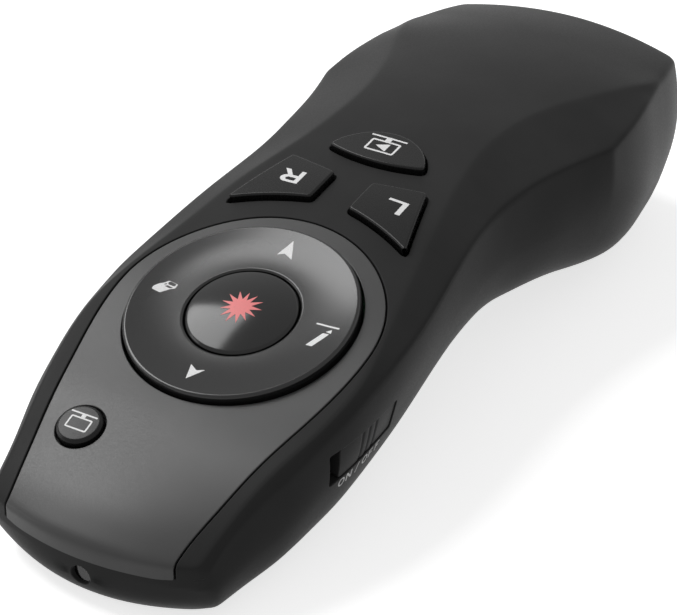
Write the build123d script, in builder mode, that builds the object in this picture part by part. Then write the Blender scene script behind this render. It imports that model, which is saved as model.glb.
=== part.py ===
from build123d import *
import os
from math import cos, radians, sin, sqrt, tan

# Wireless presentation clicker: an arched handset that rests on its nose and its belly.
# Frame: +Z up, +Y towards the tail, +X on the power slider's side, millimetres.
# The origin is on the table, in the middle of the body.

# ---- Driving dimensions -------------------------------------------------------------

# Body, seen from above
BODY_LENGTH = 127.6          # nose to tail
NOSE_WIDTH = 33.0            # across the side walls just behind the nose
HEAD_WIDTH = 41.8            # across the crease beside the ring
WAIST_WIDTH = 36.2           # across the crease at the narrowest place
HIP_WIDTH = 45.2             # across the crease at its widest point
TAIL_WIDTH = 33.0            # across the crease at the tail
RING_FROM_NOSE = 35.6        # ring's centre behind the nose
WAIST_FROM_RING = 33.0       # narrowest place behind the ring's centre
HIP_FROM_TAIL = 34.5         # widest place in front of the tail
TIP_FROM_TAIL = 15.7         # tip of the leaf-shaped facet in front of the tail
NOSE_BULGE = 3.6             # how far the nose curves out between its upper corners
NOSE_FOOT_BULGE = 6.3        # the same at the table
NOSE_LEAN = 1.1              # how far the nose face leans back at the table
TAIL_BULGE = 2.4             # how far the tail curves out between its corners
NOSE_CORNER_X = 16.4         # corners of the plan before they are rounded
NOSE_FOOT_X = 14.3
TAIL_CORNER_X = 17.8
NOSE_CORNER_RADIUS = 3.0
TAIL_CORNER_RADIUS = 3.6

# Body, seen from the side
RING_HEIGHT = 22.5           # ring's top rim above the table, at its centre
RING_TILT = 15.24            # degrees that the ring and the board lean forwards
RING_PROUD = 1.1             # ring's rim above the key panel
BACK_HEIGHT = 29.2           # highest point of the back
NOSE_EDGE_HEIGHT = 9.0       # upper edge of the nose face
TAIL_EDGE_HEIGHT = 25.3      # upper edge of the tail face
ARCH_HEIGHT = 7.6            # underside above the table at the waist
NOSE_SEAM_HEIGHT = 6.6       # seam between the shells on the nose face
SEAM_DROP = 0.25             # seam below the crease elsewhere

# Walls and gaps
WALL = 1.8                   # shell wall
PANEL_THICKNESS = 1.3        # key panel
LEDGE_THICKNESS = 0.8        # shelf of the upper shell under the panel's edge
LEDGE_WIDTH = 1.7            # how far that shelf reaches in under the panel
GROOVE_WIDTH = 0.5           # open groove round the key panel
SEAM_GAP = 0.04              # between pieces that lie on each other
KEY_GAP = 0.3                # round every key, slider and door
OVERLAP = 0.2                # how far joined shapes run into each other
BEYOND = 1.0                 # how far a cutting shape stands out past what it cuts

# Ring and laser button
RING_RADIUS = 15.0
RING_HOLE_RADIUS = 7.4
RING_THICKNESS = 1.5
RING_DISH = 0.45             # how far the ring's face falls from rim to hole
RING_SKIRT = 2.5             # depth of the ring's outer wall
RING_SKIRT_WALL = 0.9
RING_BEVEL = 0.35            # of its outer rim
RING_BELLY = 0.62            # share of the dish that is left half way out
BUTTON_RADIUS = 7.1
BUTTON_SET_BACK = 0.1        # its edge below the edge of the ring's hole
BUTTON_CROWN = 0.9           # how far the button bulges above its edge
BUTTON_FLANGE_RADIUS = 7.65
BUTTON_FLANGE_TOP = 2.1
BUTTON_FLANGE_THICKNESS = 0.6

# Gimbal that carries the ring; depths are below the ring's rim
GIMBAL_INNER = 7.9
GIMBAL_OUTER = 9.3
GIMBAL_HEIGHT = 2.0
PIVOT_DEPTH = 3.9
PIN_RADIUS = 0.5
PIN_GAP = 0.06
POST_INNER = 9.7
POST_OUTER = 11.2
POST_WIDTH = 2.2
POST_WALL = 0.65             # round the pins' bores
COLLAR_THICKNESS = 0.9
PUSHER_RING = 13.0           # circle of the four pushers under the ring

# Key panel, seen from above, to the middle of the groove
PANEL_HEAD_RADIUS = 18.2
PANEL_SIDE_HALF = 16.3
PANEL_SIDE_Y = -13.4         # from the ring's centre
PANEL_NOSE_HALF = 12.2

# Keys
KEY_PROUD = 0.9              # key tops above the shell
KEY_TRAVEL = 0.45
KEY_FLANGE = 0.8             # rim under the shell that keeps a key in
KEY_FOOT = 4.5               # from the left and right keys' plane down to their underside
KEY_RECESS = 0.5             # room round the switch in a key's underside
STEM_RADIUS = 1.3
KEY_EDGE_RADIUS = 0.3
KEY_INNER_X = 2.8            # left and right key, edge next to the middle
KEY_FRONT_Y = 21.1           # inner front corner behind the ring's centre
KEY_BACK_Y = 27.2            # inner back corner
KEY_TIP_X = 13.4             # outer front tip
KEY_TIP_Y = 17.2
KEY_OUTER_X = 10.1           # outer back corner
KEY_OUTER_Y = 28.6
KEY_ARC_X = 8.8              # middle of the hollow front edge
KEY_ARC_Y = 19.3
KEY_CORNER = 0.5             # rounding of the keys' corners
KEY_STEM_X = 7.4             # where the stems press the switches, on the keys' plane
KEY_STEM_Y = 1.0
PLAY_STEM_Y = -0.2
KEY_PLANE_Y = 23.0           # where the keys' height is taken
KEY_PLANE_HEIGHT = 27.65     # their faces above the table there
KEY_TILT = 7.4               # degrees
PLAY_HALF_WIDTH = 7.1        # half-moon key
PLAY_FRONT_Y = 32.9          # its front corners behind the ring's centre
PLAY_FRONT_BULGE = 1.3
PLAY_DEPTH = 5.6             # from the front corners to the top of the arc
PLAY_HEIGHT = 28.8
PLAY_TILT = 4.6
PLAY_FOOT = 3.6
BLANK_X = -8.8               # round key
BLANK_Y = -22.6
BLANK_RADIUS = 3.2
BLANK_HEIGHT = 15.4
BLANK_TILT = 18.5
BLANK_FOOT = 3.2
BLANK_FLANGE = 0.5           # thickness of its rim

# Power slider
SLOT_FROM = -12.0            # slot's front end, from the ring's centre
SLOT_LENGTH = 15.3
SLOT_LOW = 9.7
SLOT_HIGH = 14.4
SLIDER_TRAVEL = 2.0
SLIDER_PLATE_X = 16.4        # plate behind the shell's wall
SLIDER_PLATE = 0.9
SLIDER_PLATE_EXTRA = 1.3     # plate beyond the cap, front and back
SLIDER_PLATE_LOW = 8.9
SLIDER_PLATE_HIGH = 15.3
SLIDE_SWITCH_LENGTH = 9.0
SLIDE_SWITCH_DEPTH = 3.4
SLIDE_SWITCH_HEIGHT = 3.6
SLIDE_SWITCH_GAP = 0.8       # between switch and plate
SLIDE_SWITCH_LOW = 6.6
KNOB_SIZE = 1.6
KNOB_DEPTH = 1.4             # well of the slide switch
SLIDER_GROOVES = 1           # finger grooves on each side of the middle one
SLIDER_GROOVE_PITCH = 1.6
SLIDER_GROOVE_WIDTH = 0.6
SLIDER_GROOVE_INSET = 1.4

# Board and switches
BOARD_DEPTH = 7.9            # board's upper face below the ring's rim
BOARD_THICKNESS = 1.0
BOARD_FRONT = -26.0          # along the board, from the ring's centre
BOARD_HEAD_FRONT = -16.0
BOARD_HEAD_BACK = 16.5
BOARD_BACK = 35.8
BOARD_NOSE_HALF = 10.6
BOARD_HEAD_HALF = 15.0
BOARD_WAIST_HALF = 10.2
SWITCH_SIZE = 3.4
SWITCH_HEIGHT = 1.3
PLUNGER_RADIUS = 0.8
PLUNGER_GAP = 0.22
PLUNGER_REACH = 0.3          # how far a plunger stands in its switch at rest
WELL_DEPTH = 0.95
PLUNGER_LENGTH = 0.85
CHIP_HEIGHT = 0.9
RADIO_CHIP_SIZE = 4.6
RADIO_CHIP_Y = 28.6
CONTROL_CHIP_SIZE = 5.0
CONTROL_CHIP_Y = 19.4
CRYSTAL_X = 4.4
CRYSTAL_Y = 31.6
CRYSTAL_WIDTH = 3.2
CRYSTAL_LENGTH = 1.6
SMALL_PART_WIDTH = 1.0
SMALL_PART_LENGTH = 0.6
SMALL_PART_HEIGHT = 0.5
SMALL_PART_ROWS = (          # place along the board, places out from its middle
    (-19.5, (2.0, 5.0, 8.0)),
    (18.6, (4.4, 7.0)),
    (20.4, (4.4, 7.0)),
    (34.5, (4.4, 6.4, 8.4)),
)

# Laser module
LASER_HEIGHT = 4.2
LASER_BARREL_RADIUS = 2.3
LASER_BARREL_LENGTH = 11.0
LASER_BORE_RADIUS = 1.6
LASER_HOLE_RADIUS = 1.5
LASER_FROM_NOSE = 2.6        # barrel's front face behind the nose
CRADLE_HALF = 3.4
CRADLE_SET_BACK = 1.0        # from the barrel's front face, twice that from its rear
DIODE_BASE = 0.9
DIODE_CAN = 2.4
LENS_SET_BACK = 0.8
LENS_THICKNESS = 1.2
WINDOW_RADIUS = 1.46
WINDOW_THICKNESS = 0.8
WINDOW_SET_BACK = 0.75

# Battery bay: two AAA cells
CELL_RADIUS = 5.25
CELL_LENGTH = 44.5
CELL_NUB_RADIUS = 1.9
CELL_NUB = 1.0
CELL_SPACING = 11.2
CELL_HEIGHT = 14.4           # cells' axes above the table
CELL_FROM_TAIL = 8.3         # cells' rear end in front of the tail
SPRING_LENGTH = 2.6
CONTACT_THICKNESS = 0.4
TRAY_WALL = 1.2
TRAY_GAP = 0.3
EAR_HEIGHT = 15.0            # tray's ears above the table
EAR_THICKNESS = 1.2
EAR_REACH = 3.6
EAR_LENGTH = 2.6
EAR_FRONT = 9.6              # front ears behind the tray's front wall
EAR_BACK = 6.8               # rear ears in front of its rear wall
DOOR_HALF_WIDTH = 12.6
DOOR_HEIGHT = 9.4            # door's upper edge on the tail
DOOR_FROM_WAIST = 6.2        # door's front edge behind the waist
TAB_HEIGHT = 2.9             # door's tabs run over the shell's floor at this height
TAB_THICKNESS = 1.0
TAB_LENGTH = 2.0
TAB_REACH = 1.4
TAB_FROM_TAIL = (20.3, 26.3)

CELL_EDGE_RADIUS = 0.4
SPRING_RADIUS = 2.6
SPRING_WIRE = 0.25           # half the wire's thickness
SPRING_PITCH = 0.8
CONTACT_SIZE = 8.0
CONTACT_BOSS = 2.2

# Screws that join the shells
SCREW_RADIUS = 1.0
SCREW_HEAD_RADIUS = 1.85
SCREW_HEAD_HEIGHT = 1.3
SCREW_GAP = 0.15
SCREW_END_GAP = 0.5          # below the bottom of the threaded hole
SCREW_CROSS = (0.5, 2.2)     # width and length of the slots in a screw's head
SCREW_BITE = 4.4             # length of thread in the upper shell
COLUMN_RADIUS = 2.3
FOOT_COLUMN_RADIUS = 2.7
COLUMN_FLOOR = 1.6           # under a screw's head
FRONT_COLUMN_X = 13.6
FRONT_COLUMN_Y = -17.0       # from the ring's centre
FRONT_COLUMN_SEAM = 8.2      # where upper and lower columns meet, above the table
REAR_COLUMN_X = 13.0
REAR_COLUMN_Y = -2.0         # from the waist
REAR_COLUMN_SEAM = 16.0
BOARD_POSTS = ((9.0, -13.0), (10.5, 11.0), (7.5, 31.0))      # from the ring's centre
BOARD_POST_RADIUS = 1.5
BOARD_PIN_RADIUS = 0.6       # pins on the posts that stand in the board's holes
BOARD_PIN_GAP = 0.25
BOARD_PIN_PROUD = 0.9

# ---- Places worked out from them ----------------------------------------------------

NOSE_Y = -BODY_LENGTH / 2
TAIL_Y = BODY_LENGTH / 2
RING_Y = NOSE_Y + RING_FROM_NOSE
WAIST_Y = RING_Y + WAIST_FROM_RING
HIP_Y = TAIL_Y - HIP_FROM_TAIL
TIP_Y = TAIL_Y - TIP_FROM_TAIL
FAR = 4 * BODY_LENGTH        # larger than anything, for cutting blocks
FOOT_CUT = 0.15              # the underside is cut flat this much above its lowest lines

# Stations count the body's landmarks from the nose: 0 nose, 1 ring, 2 waist, 3 hip,
# 4 tip of the leaf-shaped facet, 5 tail. A fraction lies between two landmarks.
LANDMARKS = (NOSE_Y, RING_Y, WAIST_Y, HIP_Y, TIP_Y, TAIL_Y)


def station_y(station):
    """Place along the body of a station number."""
    index = min(max(int(station), 0), len(LANDMARKS) - 2)
    start, end = LANDMARKS[index], LANDMARKS[index + 1]
    return start + (end - start) * (station - index)


def y_station(y):
    """Station number of a place along the body."""
    index = max([0] + [k for k in range(len(LANDMARKS) - 1) if LANDMARKS[k] <= y])
    return index + (y - LANDMARKS[index]) / (LANDMARKS[index + 1] - LANDMARKS[index])


def curve(points, station):
    """Smooth curve through (station, value) points: cubic, with chord slopes at the points."""
    last = len(points) - 1
    index = max([0] + [k for k in range(last) if points[k][0] <= station])
    left, right = points[index], points[index + 1]
    before, after = points[max(index - 1, 0)], points[min(index + 2, last)]
    width = right[0] - left[0]
    slope_left = (right[1] - before[1]) / (right[0] - before[0])
    slope_right = (after[1] - left[1]) / (after[0] - left[0])
    t = (station - left[0]) / width
    return (
        left[1] * (2 * t**3 - 3 * t**2 + 1)
        + slope_left * width * (t**3 - 2 * t**2 + t)
        + right[1] * (3 * t**2 - 2 * t**3)
        + slope_right * width * (t**3 - t**2)
    )


def panel_height(station):
    """Height of the flat top beside the ring, which leans with the ring."""
    rim = RING_HEIGHT + (station_y(station) - RING_Y) * tan(radians(RING_TILT))
    return rim - RING_PROUD / cos(radians(RING_TILT))


NOSE_HALF = NOSE_WIDTH / 2
HEAD_HALF = HEAD_WIDTH / 2
WAIST_HALF = WAIST_WIDTH / 2
HIP_HALF = HIP_WIDTH / 2
TAIL_HALF = TAIL_WIDTH / 2

# Lines of the body along its length, as (station, millimetres)
CREST = [                    # height of the top in the middle
    (-0.12, NOSE_EDGE_HEIGHT - 2.1),
    (0.0, NOSE_EDGE_HEIGHT),
    (0.13, NOSE_EDGE_HEIGHT + 2.6),
    (0.27, panel_height(0.27) - 0.75),
    (0.44, panel_height(0.44) - 0.1),
    (0.64, panel_height(0.64)),
    (1.0, panel_height(1.0)),
    (1.36, panel_height(1.36)),
    (1.68, BACK_HEIGHT - 2.35),
    (2.0, BACK_HEIGHT - 1.3),
    (2.37, BACK_HEIGHT - 0.4),
    (2.78, BACK_HEIGHT),
    (3.24, BACK_HEIGHT - 0.1),
    (3.77, BACK_HEIGHT - 0.7),
    (4.36, BACK_HEIGHT - 2.0),
    (5.0, TAIL_EDGE_HEIGHT - 0.2),
    (5.4, TAIL_EDGE_HEIGHT - 1.5),
]
EDGE_FRONT = [               # half width across the crease, nose to hip
    (-0.12, NOSE_HALF - 1.6),
    (0.0, NOSE_HALF - 0.9),
    (0.2, NOSE_HALF - 0.3),
    (0.33, NOSE_HALF + 0.6),
    (0.47, HEAD_HALF - 2.4),
    (0.64, HEAD_HALF - 1.2),
    (0.8, HEAD_HALF - 0.3),
    (0.93, HEAD_HALF),
    (1.1, HEAD_HALF + 0.1),
    (1.36, HEAD_HALF - 0.5),
    (1.63, WAIST_HALF + 1.1),
    (1.85, WAIST_HALF + 0.2),
    (2.05, WAIST_HALF),
    (2.29, WAIST_HALF + 0.5),
    (2.65, HIP_HALF - 2.4),
    (3.0, HIP_HALF),
]
EDGE_REAR = [                # the same, hip to tail
    (3.0, HIP_HALF),
    (3.35, HIP_HALF - 0.3),
    (3.77, HIP_HALF - 1.5),
    (4.0, HIP_HALF - 2.4),
    (4.49, TAIL_HALF + 2.1),
    (4.87, TAIL_HALF + 0.4),
    (5.4, TAIL_HALF - 1.9),
]
FACET_WIDTH = [              # from the crease in to the shoulder
    (-0.12, 0.9),
    (0.8, 1.0),
    (0.93, 1.3),
    (1.06, 2.2),
    (1.2, 3.0),
    (1.41, 3.9),
    (1.68, 4.5),
    (1.94, 5.6),
    (2.29, 7.4),
    (2.55, 8.6),
    (2.83, 9.4),
    (3.0, 9.5),
    (3.36, 6.7),
    (3.77, 2.6),
    (4.0, 0.7),
    (4.49, 0.6),
    (5.4, 0.6),
]
SHOULDER_DROP = [            # from the crest down to the shoulder
    (-0.12, 2.2),
    (0.0, 1.9),
    (0.13, 1.6),
    (0.33, 0.7),
    (0.64, 0.45),
    (1.06, 0.4),
    (1.41, 0.9),
    (1.68, 0.75),
    (1.94, 0.4),
    (2.29, 0.4),
    (2.55, 0.5),
    (3.0, 0.9),
    (3.36, 1.35),
    (3.77, 1.85),
    (4.0, 2.4),
    (4.49, 2.2),
    (5.4, 1.8),
]
FACET_DROP = [               # from the shoulder down to the crease
    (-0.12, 1.1),
    (0.8, 1.15),
    (1.06, 1.5),
    (1.41, 1.9),
    (1.94, 2.35),
    (2.29, 2.8),
    (2.55, 3.35),
    (3.0, 3.7),
    (3.36, 2.6),
    (3.77, 1.5),
    (4.0, 0.7),
    (5.4, 0.7),
]
FLANK_OUT = [                # from the crease out to the fullest part of the side
    (-0.12, 0.5),
    (0.13, 0.6),
    (0.33, 0.6),
    (0.64, 0.0),
    (1.0, -0.8),
    (1.36, -0.7),
    (1.68, 0.0),
    (1.94, 0.7),
    (2.29, 1.0),
    (2.65, 0.9),
    (3.0, 0.0),
    (3.4, 0.2),
    (4.0, 0.1),
    (5.4, 0.2),
]
KEEL = [                     # height of the underside
    (-0.12, -FOOT_CUT),
    (0.7, -FOOT_CUT),
    (1.0, 0.09 * ARCH_HEIGHT),
    (1.3, 0.38 * ARCH_HEIGHT),
    (1.61, 0.77 * ARCH_HEIGHT),
    (1.85, 0.97 * ARCH_HEIGHT),
    (2.05, ARCH_HEIGHT),
    (2.29, 0.88 * ARCH_HEIGHT),
    (2.61, 0.66 * ARCH_HEIGHT),
    (2.94, 0.38 * ARCH_HEIGHT),
    (3.35, 0.12 * ARCH_HEIGHT),
    (3.77, -FOOT_CUT),
    (5.4, -FOOT_CUT),
]
BILGE = [                    # radius between side and underside
    (-0.12, 5.0),
    (0.33, 6.5),
    (0.64, 8.8),
    (1.0, 10.5),
    (1.61, 9.5),
    (1.94, 9.0),
    (2.29, 9.5),
    (2.65, 11.0),
    (3.1, 11.5),
    (3.6, 10.3),
    (4.0, 9.5),
    (5.4, 10.0),
]
FRONT_STATIONS = (0.03, 0.13, 0.22, 0.34, 0.5, 0.7, 0.9, 1.06, 1.2, 1.4, 1.65, 1.9, 2.15, 2.45, 2.75, 3.0)
REAR_STATIONS = (3.0, 3.3, 3.6, 3.85, 4.05, 4.4, 4.85, 5.4)
SEAM_STATIONS = (0.16, 0.24, 0.4, 0.6, 0.8, 1.0, 1.3, 1.6, 1.9, 2.2, 2.6, 3.0, 3.5, 4.0, 4.5, 5.35)


def crease_x(station):
    """Half width of the body across its crease."""
    return curve(EDGE_FRONT if station <= 3.0 else EDGE_REAR, station)


def section_points(station, inset):
    """Right half of a cross-section, moved in by the inset: shoulder, crease, flank, bilge, keel."""
    crest = curve(CREST, station)
    edge_x = crease_x(station)
    shoulder_x = edge_x - curve(FACET_WIDTH, station)
    shoulder_z = crest - curve(SHOULDER_DROP, station)
    edge_z = shoulder_z - curve(FACET_DROP, station)
    flank_x = edge_x + curve(FLANK_OUT, station)
    keel_z = curve(KEEL, station)
    bilge = min(curve(BILGE, station), 0.75 * (edge_z - keel_z))
    inner = bilge - inset
    return {
        "crest": (0, crest - inset),
        "shoulder": (shoulder_x - 0.6 * inset, shoulder_z - inset),
        "edge": (edge_x - inset, edge_z - 0.75 * inset),
        "flank": (flank_x - inset, keel_z + bilge),
        "bilge": (flank_x - bilge + inner * sqrt(0.5), keel_z + bilge - inner * sqrt(0.5)),
        "keel": (flank_x - bilge, keel_z + inset),
    }


def front_stations(inset):
    """Stations from the nose to the hip; the first stands just outside the moved-in nose."""
    first = -0.12 + 0.075 * inset
    return [first] + [station for station in FRONT_STATIONS if station > first + 0.05]


def left(point):
    """Mirror image of a section point."""
    return (-point[0], point[1])


def body_form(inset):
    """The body as a solid, its whole surface moved in by the inset."""
    with BuildPart() as form:
        for stations in (front_stations(inset), REAR_STATIONS):
            for station in stations:
                at = section_points(station, inset)
                with BuildSketch(Plane((0, station_y(station), 0), x_dir=(1, 0, 0), z_dir=(0, -1, 0))):
                    with BuildLine():
                        ThreePointArc(left(at["shoulder"]), at["crest"], at["shoulder"])
                        Line(at["shoulder"], at["edge"])
                        Spline(
                            at["edge"], at["flank"], at["bilge"], at["keel"],
                            tangents=[(0.15, -1), (-1, 0)],
                        )
                        Line(at["keel"], left(at["keel"]))
                        Spline(
                            left(at["keel"]), left(at["bilge"]), left(at["flank"]), left(at["edge"]),
                            tangents=[(-1, 0), (0.15, 1)],
                        )
                        Line(left(at["edge"]), left(at["shoulder"]))
                    make_face()
            loft()
        with BuildSketch(Plane.YZ):
            with BuildLine():
                side_outline(inset)
            make_face()
        extrude(amount=FAR, both=True, mode=Mode.INTERSECT)
        add(plan_block(inset), mode=Mode.INTERSECT)
    return form.part


def side_outline(inset):
    """Outline that rounds the nose and the tail, seen from the side; wide elsewhere."""
    above = BACK_HEIGHT + 10
    nose = Spline(
        (NOSE_Y + 2.6 + 0.4 * inset, inset),
        (NOSE_Y + 0.8 + 0.8 * inset, 1.9 + 0.4 * inset),
        (NOSE_Y + inset, NOSE_EDGE_HEIGHT - 3.0),
        (NOSE_Y + 0.5 + inset, NOSE_EDGE_HEIGHT - 0.9 - 0.4 * inset),
        (NOSE_Y + 2.6 + 0.6 * inset, NOSE_EDGE_HEIGHT + 1.45 - 0.7 * inset),
        tangents=[(-1, 0.2), (1, 0.75)],
    )
    tail = Spline(
        (TAIL_Y - 2.2 - inset, TAIL_EDGE_HEIGHT),
        (TAIL_Y - 0.6 - inset, TAIL_EDGE_HEIGHT - 5.3),
        (TAIL_Y - inset, 14.0),
        (TAIL_Y - 1.2 - 0.95 * inset, 8.5 + 0.3 * inset),
        (TAIL_Y - 4.5 - 0.7 * inset, 3.7 + 0.7 * inset),
        (TAIL_Y - 9.5 - 0.4 * inset, 1.0 + 0.9 * inset),
        (TAIL_Y - 15.5, inset),
        tangents=[(0.3, -1), (-1, 0)],
    )
    Polyline(nose @ 1, (NOSE_Y + 5.0, NOSE_EDGE_HEIGHT + 4.2), (NOSE_Y + 9.0, above),
             (TAIL_Y - 5.4 - inset, above), tail @ 0)
    Polyline(tail @ 1, nose @ 0)


def plan_corners(inset, at_foot):
    """Nose and tail corners of the outline seen from above, at the table or at the nose's edge."""
    nose_x = NOSE_FOOT_X if at_foot else NOSE_CORNER_X
    bulge = NOSE_FOOT_BULGE + NOSE_LEAN if at_foot else NOSE_BULGE
    nose = (nose_x - inset, NOSE_Y + bulge + inset)
    tail = (TAIL_CORNER_X - inset, TAIL_Y - TAIL_BULGE - inset)
    return nose, tail


def plan_sketch(inset, at_foot):
    """Outline that rounds the nose and the tail, seen from above; wide elsewhere."""
    nose, tail = plan_corners(inset, at_foot)
    lean = NOSE_LEAN if at_foot else 0
    wide = HIP_HALF + 6
    right_side = [
        nose,
        (nose[0] + 1.8, nose[1] + 8.0),
        (wide, nose[1] + 22.0),
        (wide, tail[1] - 22.0),
        (tail[0] + 2.9, tail[1] - 13.4),
        tail,
    ]
    height = 0 if at_foot else NOSE_EDGE_HEIGHT - 3.0
    with BuildSketch(Plane.XY.offset(height)) as plan:
        with BuildLine():
            ThreePointArc(left(nose), (0, NOSE_Y + lean + inset), nose)
            Polyline(*right_side)
            ThreePointArc(tail, (0, TAIL_Y - inset), left(tail))
            Polyline(*[left(point) for point in right_side])
        make_face()
        fillet(corners_near(plan, nose), NOSE_CORNER_RADIUS)
        fillet(corners_near(plan, tail), TAIL_CORNER_RADIUS)
    return plan.sketch


def corners_near(sketch, corner):
    """The two mirrored vertices of a sketch at a corner."""
    near = 0.01
    return [
        vertex
        for vertex in sketch.vertices()
        if abs(abs(vertex.X) - corner[0]) < near and abs(vertex.Y - corner[1]) < near
    ]


def plan_block(inset):
    """Block that rounds nose and tail: its nose leans back towards the table."""
    foot = plan_sketch(inset, True)
    edge = plan_sketch(inset, False)
    with BuildPart() as block:
        loft(sections=[foot, edge], ruled=True)
        extrude(edge, amount=FAR)
        extrude(foot, amount=-FAR)
    return block.part


# ---- Planes -------------------------------------------------------------------------


def leaning_plane(x, y, height, tilt):
    """Plane at a point, leaning forwards by the tilt; its normal is its Z."""
    lean = radians(tilt)
    return Plane((x, y, height), x_dir=(1, 0, 0), z_dir=(0, -sin(lean), cos(lean)))


RING = leaning_plane(0, RING_Y, RING_HEIGHT, RING_TILT)          # ring's rim
BOARD = RING.offset(-BOARD_DEPTH)                                # board's upper face
KEYS = leaning_plane(0, RING_Y + KEY_PLANE_Y, KEY_PLANE_HEIGHT, KEY_TILT)
PLAY = leaning_plane(0, RING_Y + PLAY_FRONT_Y, PLAY_HEIGHT, PLAY_TILT)
BLANK = leaning_plane(BLANK_X, RING_Y + BLANK_Y, BLANK_HEIGHT, BLANK_TILT)


def edge_height(station):
    """Height of the crease between the top and the side."""
    return section_points(station, 0)["edge"][1]


# ---- Forms that several pieces are cut from -----------------------------------------

raised = body_form(-KEY_PROUD)
outer = body_form(0)
under_panel = body_form(PANEL_THICKNESS)
core = body_form(WALL)
under_ledge = body_form(PANEL_THICKNESS + LEDGE_THICKNESS)


def seam_block(gap):
    """Everything above the seam between the shells, which follows the crease; gap moves it up."""
    nose = [(-0.25, 0), (-0.05, 0), (0.04, 0.1), (0.09, 1.0)]
    seam = [(station_y(s), NOSE_SEAM_HEIGHT + rise + gap) for s, rise in nose]
    for station in SEAM_STATIONS:
        seam.append((station_y(station), edge_height(station) - SEAM_DROP + gap))
    with BuildPart() as block:
        with BuildSketch(Plane.YZ):
            with BuildLine():
                lower = Spline(*seam)
                above = 2 * BACK_HEIGHT
                Polyline(lower @ 1, (seam[-1][0], above), (seam[0][0], above), lower @ 0)
            make_face()
        extrude(amount=HIP_WIDTH, both=True)
    return block.part


def panel_block(gap, front):
    """Upright block inside the groove round the key panel, gap in from the groove's middle."""
    radius = PANEL_HEAD_RADIUS - gap
    nose = PANEL_NOSE_HALF - gap
    side = [
        (radius, RING_Y),
        (PANEL_SIDE_HALF - gap, RING_Y + PANEL_SIDE_Y),
        (nose + 0.7, NOSE_Y + 6.5),
        (nose, NOSE_Y + 2.6),
    ]
    with BuildPart() as block:
        with BuildSketch(Plane.XY):
            with BuildLine():
                ThreePointArc(
                    (radius, RING_Y), (0, RING_Y + radius * cos(radians(RING_TILT))), (-radius, RING_Y)
                )
                right = Spline(*side, tangents=[(0, -1), (-0.15, -1)])
                mirror(right, about=Plane.YZ)
                Polyline(side[-1], (nose, front), (-nose, front), left(side[-1]))
            make_face()
        extrude(amount=2 * BACK_HEIGHT)
    return block.part


def key_sketch(side, grow):
    """Outline of the left (side 1) or right (side -1) key on its plane, grown by an amount."""
    stretch = 1 / cos(radians(KEY_TILT))
    inner_front = (side * KEY_INNER_X, (KEY_FRONT_Y - KEY_PLANE_Y) * stretch)
    inner_back = (side * KEY_INNER_X, (KEY_BACK_Y - KEY_PLANE_Y) * stretch)
    outer_back = (side * KEY_OUTER_X, (KEY_OUTER_Y - KEY_PLANE_Y) * stretch)
    tip = (side * KEY_TIP_X, (KEY_TIP_Y - KEY_PLANE_Y) * stretch)
    middle = (side * KEY_ARC_X, (KEY_ARC_Y - KEY_PLANE_Y) * stretch)
    with BuildSketch(KEYS) as outline:
        with BuildLine():
            Polyline(inner_front, inner_back, outer_back, tip)
            ThreePointArc(tip, middle, inner_front)
        make_face()
        fillet(outline.vertices(), KEY_CORNER)
        if grow:
            offset(amount=grow)
    return outline.sketch


def play_sketch(grow):
    """Outline of the half-moon key on its plane, grown by an amount."""
    half = PLAY_HALF_WIDTH
    with BuildSketch(PLAY) as outline:
        with BuildLine():
            ThreePointArc((-half, 0), (0, -PLAY_FRONT_BULGE), (half, 0))
            ThreePointArc((half, 0), (0, PLAY_DEPTH), (-half, 0))
        make_face()
        fillet(outline.vertices(), KEY_CORNER)
        if grow:
            offset(amount=grow)
    return outline.sketch


def blank_sketch(grow):
    """Outline of the small round key on its plane, grown by an amount."""
    with BuildSketch(BLANK) as outline:
        Circle(BLANK_RADIUS + grow)
    return outline.sketch


# Keys of the upper shell: name, plane, outline, point over the switch, depth of the underside
KEY_SET = [
    ("left_key", KEYS, lambda grow: key_sketch(1, grow), (KEY_STEM_X, KEY_STEM_Y), KEY_FOOT),
    ("right_key", KEYS, lambda grow: key_sketch(-1, grow), (-KEY_STEM_X, KEY_STEM_Y), KEY_FOOT),
    ("play_key", PLAY, play_sketch, (0, PLAY_STEM_Y), PLAY_FOOT),
]


def switch_place(plane, spot):
    """Place of a key's switch on the board: the foot of the upright from the key's spot."""
    return BOARD.to_local_coords(plane.from_local_coords(Vector(spot[0], spot[1], 0)))


def switch_well(x, y):
    """Cylinder that a plunger moves in, in a switch at a place on the board."""
    with BuildPart() as well:
        with BuildSketch(BOARD.offset(SWITCH_HEIGHT - WELL_DEPTH)):
            with Locations((x, y)):
                Circle(PLUNGER_RADIUS + PLUNGER_GAP)
        extrude(amount=WELL_DEPTH + BEYOND)
    return well.part


# ---- Small shapes used more than once -----------------------------------------------


def box_between(x_range, y_range, z_range):
    """Upright box between two values along each axis."""
    with BuildPart() as block:
        with BuildSketch(Plane.XY.offset(z_range[0])):
            with Locations(((x_range[0] + x_range[1]) / 2, (y_range[0] + y_range[1]) / 2)):
                Rectangle(x_range[1] - x_range[0], y_range[1] - y_range[0])
        extrude(amount=z_range[1] - z_range[0])
    return block.part


def upright(x, y, low, high, radius):
    """Upright cylinder."""
    with BuildPart() as cylinder:
        with BuildSketch(Plane((x, y, low))):
            Circle(radius)
        extrude(amount=high - low)
    return cylinder.part


def rod(plane, length, radius):
    """Cylinder that starts on a plane and follows its normal."""
    with BuildPart() as cylinder:
        with BuildSketch(plane):
            Circle(radius)
        extrude(amount=length)
    return cylinder.part


def within(pieces, form):
    """The pieces together, cut to a form."""
    with BuildPart() as group:
        for piece in pieces:
            add(piece)
        add(form, mode=Mode.INTERSECT)
    return group.part


def finish(part, name):
    """Label a piece and write it to its own file."""
    part.label = name
    export_step(part, f"parts/{name}.step")


os.makedirs("parts", exist_ok=True)

# ---- Shells and key panel -----------------------------------------------------------

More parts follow.
